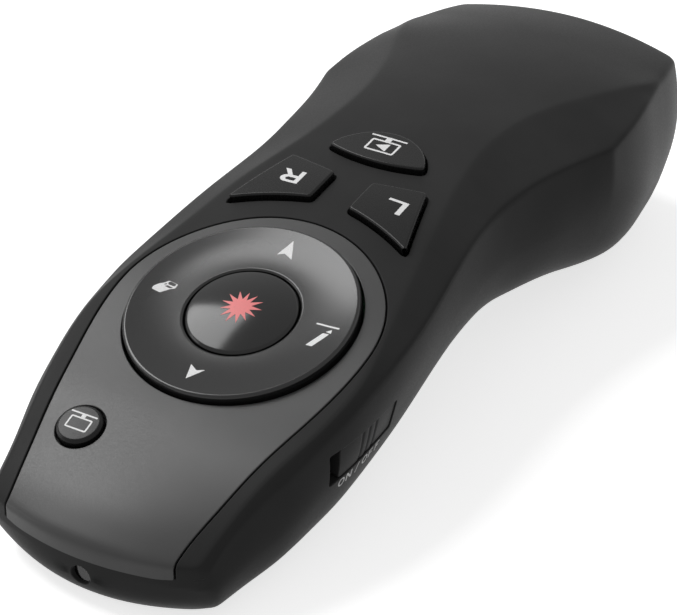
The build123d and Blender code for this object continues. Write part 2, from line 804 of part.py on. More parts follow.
BEYOND_NOSE = NOSE_Y - 2 * BEYOND
RING_OPENING = RING_RADIUS + KEY_GAP
COLUMNS = [
    (side * x, y, seam)
    for side in (1, -1)
    for x, y, seam in (
        (FRONT_COLUMN_X, RING_Y + FRONT_COLUMN_Y, FRONT_COLUMN_SEAM),
        (REAR_COLUMN_X, WAIST_Y + REAR_COLUMN_Y, REAR_COLUMN_SEAM),
    )
]

with BuildPart() as key_panel:
    add(outer)
    add(under_panel, mode=Mode.SUBTRACT)
    add(panel_block(GROOVE_WIDTH / 2, BEYOND_NOSE), mode=Mode.INTERSECT)
    add(seam_block(SEAM_GAP), mode=Mode.INTERSECT)
    with BuildSketch(BOARD):
        Circle(RING_OPENING)
    extrude(amount=2 * BOARD_DEPTH, mode=Mode.SUBTRACT)
    extrude(blank_sketch(KEY_GAP), amount=BOARD_DEPTH, both=True, mode=Mode.SUBTRACT)
finish(key_panel.part, "key_panel")

with BuildPart() as skin:
    add(outer)
    add(core, mode=Mode.SUBTRACT)

with BuildPart() as panel_pocket:
    add(panel_block(-GROOVE_WIDTH / 2, BEYOND_NOSE))
    add(under_panel, mode=Mode.SUBTRACT)

upper_columns = [upright(x, y, seam, BACK_HEIGHT, COLUMN_RADIUS) for x, y, seam in COLUMNS]
lower_columns = [upright(x, y, 0, seam - SEAM_GAP, FOOT_COLUMN_RADIUS) for x, y, seam in COLUMNS]

with BuildPart() as upper_shell:
    add(outer)
    add(under_ledge, mode=Mode.SUBTRACT)
    add(panel_block(-LEDGE_WIDTH, BEYOND_NOSE), mode=Mode.INTERSECT)
    add(skin.part)
    add(seam_block(0), mode=Mode.INTERSECT)
    add(panel_block(LEDGE_WIDTH, BEYOND_NOSE), mode=Mode.SUBTRACT)
    add(within(upper_columns, under_panel))
    add(panel_pocket.part, mode=Mode.SUBTRACT)
    with BuildSketch(BOARD):
        Circle(RING_OPENING)
    extrude(amount=2 * BOARD_DEPTH, mode=Mode.SUBTRACT)
    for name, plane, outline, spot, depth in KEY_SET:
        extrude(outline(KEY_GAP), amount=BOARD_DEPTH / 2, both=True, mode=Mode.SUBTRACT)
    blank_room = BLANK_FOOT + KEY_TRAVEL + KEY_GAP
    extrude(blank_sketch(KEY_FLANGE + KEY_GAP), amount=-blank_room, mode=Mode.SUBTRACT)
    for x, y, seam in COLUMNS:
        top = seam + SCREW_BITE + SCREW_END_GAP
        add(upright(x, y, seam - BEYOND, top, SCREW_RADIUS + SEAM_GAP), mode=Mode.SUBTRACT)
finish(upper_shell.part, "upper_shell")

# Battery bay
CELL_BACK = TAIL_Y - CELL_FROM_TAIL
CELL_FRONT = CELL_BACK - CELL_LENGTH
BAY_FRONT = CELL_FRONT - SPRING_LENGTH - CONTACT_THICKNESS
BAY_BACK = CELL_BACK + SPRING_LENGTH + CONTACT_THICKNESS
BAY_HALF = CELL_SPACING / 2 + CELL_RADIUS + TRAY_GAP
BAY_TOP = CELL_HEIGHT + CELL_RADIUS + TRAY_GAP
BAY_LOW = CELL_HEIGHT - CELL_RADIUS + TRAY_WALL
TRAY_HALF = BAY_HALF + TRAY_WALL
DOOR_FRONT = WAIST_Y + DOOR_FROM_WAIST
EARS = (BAY_FRONT + EAR_FRONT, BAY_BACK - EAR_BACK)
ear_ribs = [
    box_between(
        sorted((side * (DOOR_HALF_WIDTH + 2 * KEY_GAP), side * HIP_HALF)),
        (y - TRAY_WALL / 2, y + TRAY_WALL / 2),
        (0, EAR_HEIGHT - SEAM_GAP),
    )
    for y in EARS
    for side in (1, -1)
]

# Laser module
LASER_FRONT = NOSE_Y + LASER_FROM_NOSE
LASER_AXIS = Plane((0, LASER_FRONT, LASER_HEIGHT), x_dir=(1, 0, 0), z_dir=(0, 1, 0))
cradle = box_between(
    (-CRADLE_HALF, CRADLE_HALF),
    (LASER_FRONT + CRADLE_SET_BACK, LASER_FRONT + LASER_BARREL_LENGTH - 2 * CRADLE_SET_BACK),
    (0, LASER_HEIGHT),
)

# Slide switch on its pedestal
SLOT = (RING_Y + SLOT_FROM, RING_Y + SLOT_FROM + SLOT_LENGTH)
CAP = (SLOT[0] + KEY_GAP + SLIDER_TRAVEL, SLOT[1] - KEY_GAP)
CAP_MIDDLE = (CAP[0] + CAP[1]) / 2
SWITCH_X = (SLIDER_PLATE_X - SLIDE_SWITCH_GAP - SLIDE_SWITCH_DEPTH, SLIDER_PLATE_X - SLIDE_SWITCH_GAP)
KNOB_MIDDLE = CAP_MIDDLE
SWITCH_MIDDLE = KNOB_MIDDLE - SLIDER_TRAVEL / 2
SWITCH_Y = (SWITCH_MIDDLE - SLIDE_SWITCH_LENGTH / 2, SWITCH_MIDDLE + SLIDE_SWITCH_LENGTH / 2)
pedestal = box_between(SWITCH_X, SWITCH_Y, (0, SLIDE_SWITCH_LOW - SEAM_GAP))

# Right half of the opening at the top of the lower shell, seen from above
MOUTH_STATIONS = (0.2, 0.35, 0.5, 0.7, 0.95, 1.3, 1.7, 2.05, 2.4, 2.7, 3.0, 3.4, 3.8, 4.2, 4.6)
MOUTH = [(0.75 * NOSE_CORNER_X, NOSE_Y + NOSE_BULGE + 0.5)]
MOUTH += [(crease_x(station) - WALL - 0.5, station_y(station)) for station in MOUTH_STATIONS]
MOUTH += [(0.7 * TAIL_CORNER_X, TAIL_Y - TAIL_BULGE - WALL)]


def board_height(y):
    """Height of the board's upper face at a place along the body."""
    return BOARD.origin.Z + (y - BOARD.origin.Y) * tan(radians(RING_TILT))


POST_PLACES = [(side * x, RING_Y + y) for x, y in BOARD_POSTS for side in (1, -1)]

with BuildPart() as board_posts:
    for x, y in POST_PLACES:
        add(upright(x, y, 0, BACK_HEIGHT, BOARD_POST_RADIUS))
    with BuildSketch(BOARD.offset(-BOARD_THICKNESS - SEAM_GAP)):
        Rectangle(FAR, FAR)
    extrude(amount=-FAR, mode=Mode.INTERSECT)
    for x, y in POST_PLACES:
        add(upright(x, y, ARCH_HEIGHT, board_height(y) + BOARD_PIN_PROUD, BOARD_PIN_RADIUS))

with BuildPart() as lower_mouth:
    with BuildSketch():
        with BuildLine():
            Polyline(*MOUTH, *[left(point) for point in reversed(MOUTH)], close=True)
        make_face()
    extrude(amount=2 * BACK_HEIGHT)
    add(seam_block(-2 * WALL), mode=Mode.INTERSECT)

with BuildPart() as lower_shell:
    add(skin.part)
    add(seam_block(-SEAM_GAP), mode=Mode.SUBTRACT)
    add(lower_mouth.part, mode=Mode.SUBTRACT)
    add(within(lower_columns + ear_ribs + [cradle, pedestal, board_posts.part], under_panel))
    add(rod(LASER_AXIS, LASER_BARREL_LENGTH, LASER_BARREL_RADIUS + SEAM_GAP), mode=Mode.SUBTRACT)
    add(rod(LASER_AXIS, -2 * LASER_FROM_NOSE, LASER_HOLE_RADIUS), mode=Mode.SUBTRACT)
    add(box_between((SLIDER_PLATE_X, FAR), SLOT, (SLOT_LOW, SLOT_HIGH)), mode=Mode.SUBTRACT)
    add(
        box_between(
            (-DOOR_HALF_WIDTH - KEY_GAP, DOOR_HALF_WIDTH + KEY_GAP),
            (DOOR_FRONT - KEY_GAP, FAR),
            (-BEYOND, DOOR_HEIGHT + KEY_GAP),
        ),
        mode=Mode.SUBTRACT,
    )
    for x, y, seam in COLUMNS:
        seat = seam - COLUMN_FLOOR
        add(upright(x, y, -BEYOND, seat, SCREW_HEAD_RADIUS + SCREW_GAP), mode=Mode.SUBTRACT)
        add(upright(x, y, 0, seam + BEYOND, SCREW_RADIUS + SCREW_GAP), mode=Mode.SUBTRACT)
finish(lower_shell.part, "lower_shell")

with BuildPart() as battery_door:
    add(skin.part)
    add(
        box_between((-DOOR_HALF_WIDTH, DOOR_HALF_WIDTH), (DOOR_FRONT, FAR), (-BEYOND, DOOR_HEIGHT)),
        mode=Mode.INTERSECT,
    )
    for from_tail in TAB_FROM_TAIL:
        for side in (1, -1):
            inside = DOOR_HALF_WIDTH - TAB_REACH
            along = (TAIL_Y - from_tail, TAIL_Y - from_tail + TAB_LENGTH)
            top = TAB_HEIGHT + TAB_THICKNESS
            add(box_between(sorted((side * inside, side * DOOR_HALF_WIDTH)), along, (WALL / 2, top)))
            reach = DOOR_HALF_WIDTH + TAB_REACH
            add(box_between(sorted((side * inside, side * reach)), along, (TAB_HEIGHT, top)))
finish(battery_door.part, "battery_door")

# ---- Screws -------------------------------------------------------------------------

with BuildPart() as housing_screws:
    for x, y, seam in COLUMNS:
        seat = seam - COLUMN_FLOOR
        add(upright(x, y, seat - SCREW_HEAD_HEIGHT, seat, SCREW_HEAD_RADIUS))
        add(upright(x, y, seat - SCREW_HEAD_HEIGHT, seam + SCREW_BITE, SCREW_RADIUS))
        for wide, long in (SCREW_CROSS, SCREW_CROSS[::-1]):
            add(
                box_between(
                    (x - wide / 2, x + wide / 2),
                    (y - long / 2, y + long / 2),
                    (seat - SCREW_HEAD_HEIGHT - BEYOND, seat - SCREW_HEAD_HEIGHT / 2),
                ),
                mode=Mode.SUBTRACT,
            )
finish(housing_screws.part, "housing_screws")

# ---- Ring, gimbal and laser button --------------------------------------------------


def ring_point(x, y, depth):
    """Point in space from a place on the ring and a depth below its rim."""
    return RING.from_local_coords(Vector(x, y, -depth))


def spoke(angle, radius, depth):
    """Plane across a spoke of the ring: its normal points outwards."""
    x, y = radius * cos(radians(angle)), radius * sin(radians(angle))
    outward = RING.from_local_coords(Vector(x, y, 0)) - RING.origin
    return Plane(ring_point(x, y, depth), x_dir=RING.z_dir, z_dir=outward.normalized())


PROFILE = Plane(RING.origin, x_dir=(1, 0, 0), z_dir=-RING.y_dir)     # upright through the axis
RING_AXIS = Axis(RING.origin, RING.z_dir)
PUSHER_FOOT = BOARD_DEPTH - SWITCH_HEIGHT + PLUNGER_REACH
POST_TOP = PIVOT_DEPTH - PIN_RADIUS - PIN_GAP - POST_WALL

with BuildPart() as nav_ring:
    with BuildSketch(PROFILE):
        with BuildLine():
            face = Spline(
                (RING_HOLE_RADIUS, -RING_DISH),
                ((RING_HOLE_RADIUS + RING_RADIUS) / 2, -RING_BELLY * RING_DISH),
                (RING_RADIUS - RING_BEVEL, 0),
            )
            Polyline(
                face @ 1,
                (RING_RADIUS, -RING_BEVEL),
                (RING_RADIUS, -RING_SKIRT),
                (RING_RADIUS - RING_SKIRT_WALL, -RING_SKIRT),
                (RING_RADIUS - RING_SKIRT_WALL, -RING_THICKNESS),
                (RING_HOLE_RADIUS, -RING_THICKNESS),
                face @ 0,
            )
        make_face()
    revolve(axis=RING_AXIS)
    with BuildSketch(RING.offset(-RING_THICKNESS + OVERLAP)):
        with PolarLocations(PUSHER_RING, 4):
            Circle(PLUNGER_RADIUS)
    extrude(amount=-(PUSHER_FOOT - RING_THICKNESS + OVERLAP))
    with BuildSketch(RING.offset(-RING_THICKNESS + OVERLAP)):
        with Locations((0, (POST_INNER + POST_OUTER) / 2), (0, -(POST_INNER + POST_OUTER) / 2)):
            Rectangle(POST_WIDTH, POST_OUTER - POST_INNER)
    extrude(amount=-(PIVOT_DEPTH + PIN_RADIUS + POST_WALL - RING_THICKNESS + OVERLAP))
    for angle in (90, 270):
        add(rod(spoke(angle, POST_INNER + OVERLAP, PIVOT_DEPTH), GIMBAL_INNER - POST_INNER, PIN_RADIUS))
finish(nav_ring.part, "nav_ring")

with BuildPart() as ring_gimbal:
    with BuildSketch(RING.offset(-PIVOT_DEPTH - GIMBAL_HEIGHT / 2)):
        Circle(GIMBAL_OUTER)
        Circle(GIMBAL_INNER, mode=Mode.SUBTRACT)
    extrude(amount=GIMBAL_HEIGHT)
    for angle in (90, 270):
        add(
            rod(spoke(angle, GIMBAL_INNER - BEYOND, PIVOT_DEPTH), GIMBAL_OUTER, PIN_RADIUS + PIN_GAP),
            mode=Mode.SUBTRACT,
        )
    for angle in (0, 180):
        add(rod(spoke(angle, GIMBAL_OUTER - OVERLAP, PIVOT_DEPTH), POST_OUTER - GIMBAL_OUTER, PIN_RADIUS))
finish(ring_gimbal.part, "ring_gimbal")

with BuildPart() as ring_frame:
    with BuildSketch(BOARD.offset(SEAM_GAP / 2)):
        Circle(POST_OUTER)
        Circle(GIMBAL_INNER, mode=Mode.SUBTRACT)
    extrude(amount=COLLAR_THICKNESS)
    with BuildSketch(BOARD.offset(SEAM_GAP / 2)):
        with Locations(((POST_INNER + POST_OUTER) / 2, 0), (-(POST_INNER + POST_OUTER) / 2, 0)):
            Rectangle(POST_OUTER - POST_INNER, POST_WIDTH)
    extrude(amount=BOARD_DEPTH - POST_TOP)
    for angle in (0, 180):
        bore = rod(spoke(angle, POST_INNER - BEYOND, PIVOT_DEPTH), POST_OUTER, PIN_RADIUS + PIN_GAP)
        add(bore, mode=Mode.SUBTRACT)
finish(ring_frame.part, "ring_frame")

with BuildPart() as laser_button:
    with BuildSketch(PROFILE):
        with BuildLine():
            edge = -RING_DISH - BUTTON_SET_BACK
            dome = ThreePointArc(
                (-BUTTON_RADIUS, edge), (0, edge + BUTTON_CROWN), (BUTTON_RADIUS, edge)
            )
            Polyline(
                dome @ 1,
                (BUTTON_RADIUS, -BUTTON_FLANGE_TOP),
                (BUTTON_FLANGE_RADIUS, -BUTTON_FLANGE_TOP),
                (BUTTON_FLANGE_RADIUS, -BUTTON_FLANGE_TOP - BUTTON_FLANGE_THICKNESS),
                (-BUTTON_FLANGE_RADIUS, -BUTTON_FLANGE_TOP - BUTTON_FLANGE_THICKNESS),
                (-BUTTON_FLANGE_RADIUS, -BUTTON_FLANGE_TOP),
                (-BUTTON_RADIUS, -BUTTON_FLANGE_TOP),
                dome @ 0,
            )
        make_face()
        split(bisect_by=Plane.YZ, keep=Keep.TOP)
    revolve(axis=RING_AXIS)
    with BuildSketch(BOARD.offset(SWITCH_HEIGHT - PLUNGER_REACH + PLUNGER_LENGTH)):
        Circle(STEM_RADIUS)
    extrude(amount=BOARD_DEPTH - BUTTON_FLANGE_TOP - SWITCH_HEIGHT + PLUNGER_REACH - PLUNGER_LENGTH)
finish(laser_button.part, "laser_button")

# ---- Keys and what they press -------------------------------------------------------

STEM_FOOT = SWITCH_HEIGHT - PLUNGER_REACH + PLUNGER_LENGTH


def on_board(shapes, height):
    """Upright blocks on the board: (x, y, width, length) each, all of one height."""
    with BuildPart() as blocks:
        with BuildSketch(BOARD.offset(SEAM_GAP / 2)):
            for x, y, width, length in shapes:
                with Locations((x, y)):
                    Rectangle(width, length)
        extrude(amount=height)
    return blocks.part


def stem(place):
    """Upright on the board that joins a key to the plunger under it."""
    with BuildPart() as column:
        with BuildSketch(BOARD.offset(STEM_FOOT)):
            with Locations((place.X, place.Y)):
                Circle(STEM_RADIUS)
        extrude(amount=place.Z - STEM_FOOT - 2 * KEY_PROUD)
    return column.part


for name, plane, outline, spot, depth in KEY_SET:
    with BuildPart() as flange:
        extrude(outline(KEY_FLANGE), amount=-depth)
        add(under_ledge, mode=Mode.INTERSECT)
    with BuildPart() as key:
        extrude(outline(0), amount=-depth)
        extrude(outline(0), amount=2 * KEY_PROUD)
        add(raised, mode=Mode.INTERSECT)
        add(flange.part)
        place = switch_place(plane, spot)
        recess = SWITCH_SIZE + 2 * KEY_RECESS
        add(on_board([(place.X, place.Y, recess, recess)], STEM_FOOT + KEY_TRAVEL), mode=Mode.SUBTRACT)
        add(stem(place))
    finish(key.part, name)

with BuildPart() as blank_key:
    extrude(blank_sketch(0), amount=-BLANK_FOOT)
    fillet(blank_key.edges().group_by(Axis(BLANK.origin, BLANK.z_dir))[-1], KEY_EDGE_RADIUS)
    with BuildSketch(BLANK.offset(-BLANK_FOOT)):
        Circle(BLANK_RADIUS + KEY_FLANGE)
    extrude(amount=BLANK_FLANGE)
    add(stem(switch_place(BLANK, (0, 0))))
finish(blank_key.part, "blank_key")

KEY_SWITCHES = {"laser_actuator": Vector(0, 0, 0), "blank_actuator": switch_place(BLANK, (0, 0))}
for name, plane, outline, spot, depth in KEY_SET:
    KEY_SWITCHES[name.replace("key", "actuator")] = switch_place(plane, spot)

for name, place in KEY_SWITCHES.items():
    with BuildPart() as actuator:
        with BuildSketch(BOARD.offset(SWITCH_HEIGHT - PLUNGER_REACH)):
            with Locations((place.X, place.Y)):
                Circle(PLUNGER_RADIUS)
        extrude(amount=PLUNGER_LENGTH)
    finish(actuator.part, name)

# ---- Board and what it carries ------------------------------------------------------


def switches(places):
    """Push switches at places on the board, each with a well for its plunger."""
    with BuildPart() as group:
        add(on_board([(x, y, SWITCH_SIZE, SWITCH_SIZE) for x, y in places], SWITCH_HEIGHT))
        for x, y in places:
            add(switch_well(x, y), mode=Mode.SUBTRACT)
    return group.part


with BuildPart() as main_board:
    with BuildSketch(BOARD):
        with BuildLine():
            Polyline(
                (BOARD_NOSE_HALF, BOARD_FRONT),
                (BOARD_NOSE_HALF, BOARD_HEAD_FRONT),
                (BOARD_HEAD_HALF, BOARD_HEAD_FRONT),
                (BOARD_HEAD_HALF, BOARD_HEAD_BACK),
                (BOARD_WAIST_HALF, BOARD_HEAD_BACK),
                (BOARD_WAIST_HALF, BOARD_BACK),
                (-BOARD_WAIST_HALF, BOARD_BACK),
                (-BOARD_WAIST_HALF, BOARD_HEAD_BACK),
                (-BOARD_HEAD_HALF, BOARD_HEAD_BACK),
                (-BOARD_HEAD_HALF, BOARD_HEAD_FRONT),
                (-BOARD_NOSE_HALF, BOARD_HEAD_FRONT),
                (-BOARD_NOSE_HALF, BOARD_FRONT),
                close=True,
            )
        make_face()
    extrude(amount=-BOARD_THICKNESS)
    for x, y in POST_PLACES:
        add(upright(x, y, 0, FAR, BOARD_PIN_RADIUS + BOARD_PIN_GAP), mode=Mode.SUBTRACT)
finish(main_board.part, "main_board")

nav_places = [(PUSHER_RING, 0), (0, PUSHER_RING), (-PUSHER_RING, 0), (0, -PUSHER_RING)]
finish(switches(nav_places), "nav_switches")
finish(switches([(place.X, place.Y) for place in KEY_SWITCHES.values()]), "key_switches")
finish(on_board([(0, RADIO_CHIP_Y, RADIO_CHIP_SIZE, RADIO_CHIP_SIZE)], CHIP_HEIGHT), "radio_chip")
finish(on_board([(0, CONTROL_CHIP_Y, CONTROL_CHIP_SIZE, CONTROL_CHIP_SIZE)], CHIP_HEIGHT), "control_chip")
finish(on_board([(CRYSTAL_X, CRYSTAL_Y, CRYSTAL_WIDTH, CRYSTAL_LENGTH)], CHIP_HEIGHT), "crystal")
small_parts = [
    (side * x, y, SMALL_PART_WIDTH, SMALL_PART_LENGTH)
    for y, row in SMALL_PART_ROWS
    for x in row
    for side in (1, -1)
]
finish(on_board(small_parts, SMALL_PART_HEIGHT), "board_parts")

# ---- Power slider and its switch ----------------------------------------------------

with BuildPart() as power_slider:
    add(box_between((SLIDER_PLATE_X, FAR), CAP, (SLOT_LOW + KEY_GAP, SLOT_HIGH - KEY_GAP)))
    for groove in range(-SLIDER_GROOVES, SLIDER_GROOVES + 1):
        middle = CAP_MIDDLE + groove * SLIDER_GROOVE_PITCH
        add(
            box_between(
                (HEAD_HALF - SLIDER_GROOVE_INSET, FAR),
                (middle - SLIDER_GROOVE_WIDTH / 2, middle + SLIDER_GROOVE_WIDTH / 2),
                (0, BACK_HEIGHT),
            ),
            mode=Mode.SUBTRACT,
        )
    add(outer, mode=Mode.INTERSECT)
    add(
        box_between(
            (SLIDER_PLATE_X, SLIDER_PLATE_X + SLIDER_PLATE),
            (CAP[0] - SLIDER_PLATE_EXTRA, CAP[1] + SLIDER_PLATE_EXTRA),
            (SLIDER_PLATE_LOW, SLIDER_PLATE_HIGH),
        )
    )
finish(power_slider.part, "power_slider")

KNOB_HEIGHT = SLIDE_SWITCH_LOW + SLIDE_SWITCH_HEIGHT / 2
knob_well = box_between(
    (SWITCH_X[1] - KNOB_DEPTH, FAR),
    (
        KNOB_MIDDLE - SLIDER_TRAVEL - KNOB_SIZE / 2 - PLUNGER_GAP,
        KNOB_MIDDLE + KNOB_SIZE / 2 + PLUNGER_GAP,
    ),
    (KNOB_HEIGHT - KNOB_SIZE / 2 - PLUNGER_GAP, KNOB_HEIGHT + KNOB_SIZE / 2 + PLUNGER_GAP),
)

with BuildPart() as slide_switch:
    add(box_between(SWITCH_X, SWITCH_Y, (SLIDE_SWITCH_LOW, SLIDE_SWITCH_LOW + SLIDE_SWITCH_HEIGHT)))
    add(knob_well, mode=Mode.SUBTRACT)
finish(slide_switch.part, "slide_switch")

slide_knob = box_between(
    (SWITCH_X[1] - KNOB_DEPTH + PLUNGER_GAP, SLIDER_PLATE_X),
    (KNOB_MIDDLE - KNOB_SIZE / 2, KNOB_MIDDLE + KNOB_SIZE / 2),
    (KNOB_HEIGHT - KNOB_SIZE / 2, KNOB_HEIGHT + KNOB_SIZE / 2),
)
finish(slide_knob, "slide_knob")

# ---- Laser module -------------------------------------------------------------------

LASER_BACK = LASER_AXIS.offset(LASER_BARREL_LENGTH)

with BuildPart() as laser_barrel:
    add(rod(LASER_AXIS, LASER_BARREL_LENGTH, LASER_BARREL_RADIUS))
    add(rod(LASER_AXIS, LASER_BARREL_LENGTH, LASER_BORE_RADIUS), mode=Mode.SUBTRACT)
finish(laser_barrel.part, "laser_barrel")

finish(rod(LASER_AXIS.offset(LENS_SET_BACK), LENS_THICKNESS, LASER_BORE_RADIUS - SEAM_GAP), "laser_lens")

with BuildPart() as laser_diode:
    add(rod(LASER_BACK, DIODE_BASE, LASER_BARREL_RADIUS))
    add(rod(LASER_BACK, -DIODE_CAN, LASER_BORE_RADIUS - 2 * SEAM_GAP))
finish(laser_diode.part, "laser_diode")

window_front = Plane((0, NOSE_Y + WINDOW_SET_BACK, LASER_HEIGHT), z_dir=(0, 1, 0))
finish(rod(window_front, WINDOW_THICKNESS, WINDOW_RADIUS), "laser_window")

# ---- Batteries ----------------------------------------------------------------------

# Each cell: its name, its place across, and whether its nub points to the tail
CELLS = (("left_battery", CELL_SPACING / 2, True), ("right_battery", -CELL_SPACING / 2, False))


def along(x, y, towards_tail):
    """Plane across a cell's axis, its normal towards the tail or the nose."""
    return Plane((x, y, CELL_HEIGHT), x_dir=(1, 0, 0), z_dir=(0, 1 if towards_tail else -1, 0))


for name, x, towards_tail in CELLS:
    foot = CELL_FRONT if towards_tail else CELL_BACK
    base = along(x, foot, towards_tail)
    with BuildPart() as battery:
        add(rod(base, CELL_LENGTH - CELL_NUB, CELL_RADIUS))
        fillet(battery.edges(), CELL_EDGE_RADIUS)
        add(rod(base.offset(CELL_LENGTH / 2), CELL_LENGTH / 2, CELL_NUB_RADIUS))
    finish(battery.part, name)

with BuildPart() as battery_springs:
    for name, x, towards_tail in CELLS:
        foot = CELL_FRONT if towards_tail else CELL_BACK
        middle = along(x, foot, towards_tail).offset(-SPRING_LENGTH)
        start = middle.offset(SPRING_WIRE)
        with BuildLine():
            coil = Helix(
                pitch=SPRING_PITCH,
                height=SPRING_LENGTH - 2 * SPRING_WIRE,
                radius=SPRING_RADIUS,
                center=start.origin,
                direction=start.z_dir,
            )
        with BuildSketch(Plane(coil @ 0, z_dir=coil % 0)):
            Circle(SPRING_WIRE - SEAM_GAP / 2)
        sweep(path=coil, is_frenet=True)
finish(battery_springs.part, "battery_springs")

with BuildPart() as contact_plates:
    for name, x, towards_tail in CELLS:
        for at_tail in (True, False):
            wall = BAY_BACK if at_tail else BAY_FRONT
            inward = along(x, wall, not at_tail)
            with BuildSketch(inward):
                Rectangle(CONTACT_SIZE, CONTACT_SIZE)
            extrude(amount=CONTACT_THICKNESS)
            if at_tail == towards_tail:
                add(rod(inward.offset(CONTACT_THICKNESS), SPRING_LENGTH - SEAM_GAP, CONTACT_BOSS))
finish(contact_plates.part, "contact_plates")

with BuildPart() as battery_tray:
    add(
        box_between(
            (-TRAY_HALF, TRAY_HALF),
            (BAY_FRONT - TRAY_WALL, BAY_BACK + TRAY_WALL),
            (BAY_LOW, BAY_TOP + TRAY_WALL),
        )
    )
    for y in EARS:
        for side in (1, -1):
            add(
                box_between(
                    sorted((side * (TRAY_HALF - TRAY_WALL), side * (TRAY_HALF + EAR_REACH))),
                    (y - EAR_LENGTH / 2, y + EAR_LENGTH / 2),
                    (EAR_HEIGHT, EAR_HEIGHT + EAR_THICKNESS),
                )
            )
    add(box_between((-BAY_HALF, BAY_HALF), (BAY_FRONT, BAY_BACK), (0, BAY_TOP)), mode=Mode.SUBTRACT)
finish(battery_tray.part, "battery_tray")
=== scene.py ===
"""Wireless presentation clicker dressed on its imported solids: outer surfaces, finishes, marks, studio."""

import logging
import math
from collections.abc import Callable
from dataclasses import dataclass
from enum import Enum

import bpy
import numpy as np
from mathutils import Matrix, Vector, geometry


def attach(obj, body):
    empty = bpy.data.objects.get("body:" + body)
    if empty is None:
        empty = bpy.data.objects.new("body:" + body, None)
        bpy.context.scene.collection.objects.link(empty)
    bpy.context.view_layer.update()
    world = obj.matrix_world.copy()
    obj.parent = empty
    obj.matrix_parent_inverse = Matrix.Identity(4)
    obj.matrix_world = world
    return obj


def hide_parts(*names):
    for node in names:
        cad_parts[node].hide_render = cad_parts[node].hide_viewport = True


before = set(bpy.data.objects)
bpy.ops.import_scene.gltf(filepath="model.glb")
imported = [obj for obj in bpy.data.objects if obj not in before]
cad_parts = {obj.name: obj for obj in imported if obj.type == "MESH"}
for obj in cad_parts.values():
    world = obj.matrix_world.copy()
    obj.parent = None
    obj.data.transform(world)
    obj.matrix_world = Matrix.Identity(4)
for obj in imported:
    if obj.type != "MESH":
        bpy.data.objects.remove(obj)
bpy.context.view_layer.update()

LOG = logging.getLogger("clicker")
MM = 0.001
BLOCK = 2000  # points tested at a time, to keep the tables small
MERGE_STEP = 0.002  # points closer than this are one
NORMAL_STEPS = 50  # steps of a normal's part that keep two points apart
SAME_PLACE = 1e-7  # distance under which the triangulation joins points
SKIN_CLEAR = 0.28  # clear strip beside the edges of a skin, without points of its lattice
INK_CLEAR = 0.12  # the same for printed patches
INK_SPACING = 0.35  # distance between the lattice points of a printed patch
LOOP_SPACING = 0.3  # distance between the points of an outline cut from the body
PROFILE_STEP = 0.02  # distance between the fine points of a turned profile
STRAIGHT_WEIGHT = 0.02  # weight of length against bend when a profile's points are spread

Colour = tuple[float, float, float]
Point = tuple[float, float, float]
Flat = tuple[float, float]
Array = np.ndarray
Strokes = list[list[Array]]
Socket = bpy.types.NodeSocket
Material = bpy.types.Material

TO_THE_RIGHT = (1.0, 0.0, 0.0)


# ---- Node trees ----


def shade(colour: Colour, factor: float) -> Colour:
    """Colour with each channel multiplied by a factor."""
    return tuple(channel * factor for channel in colour)


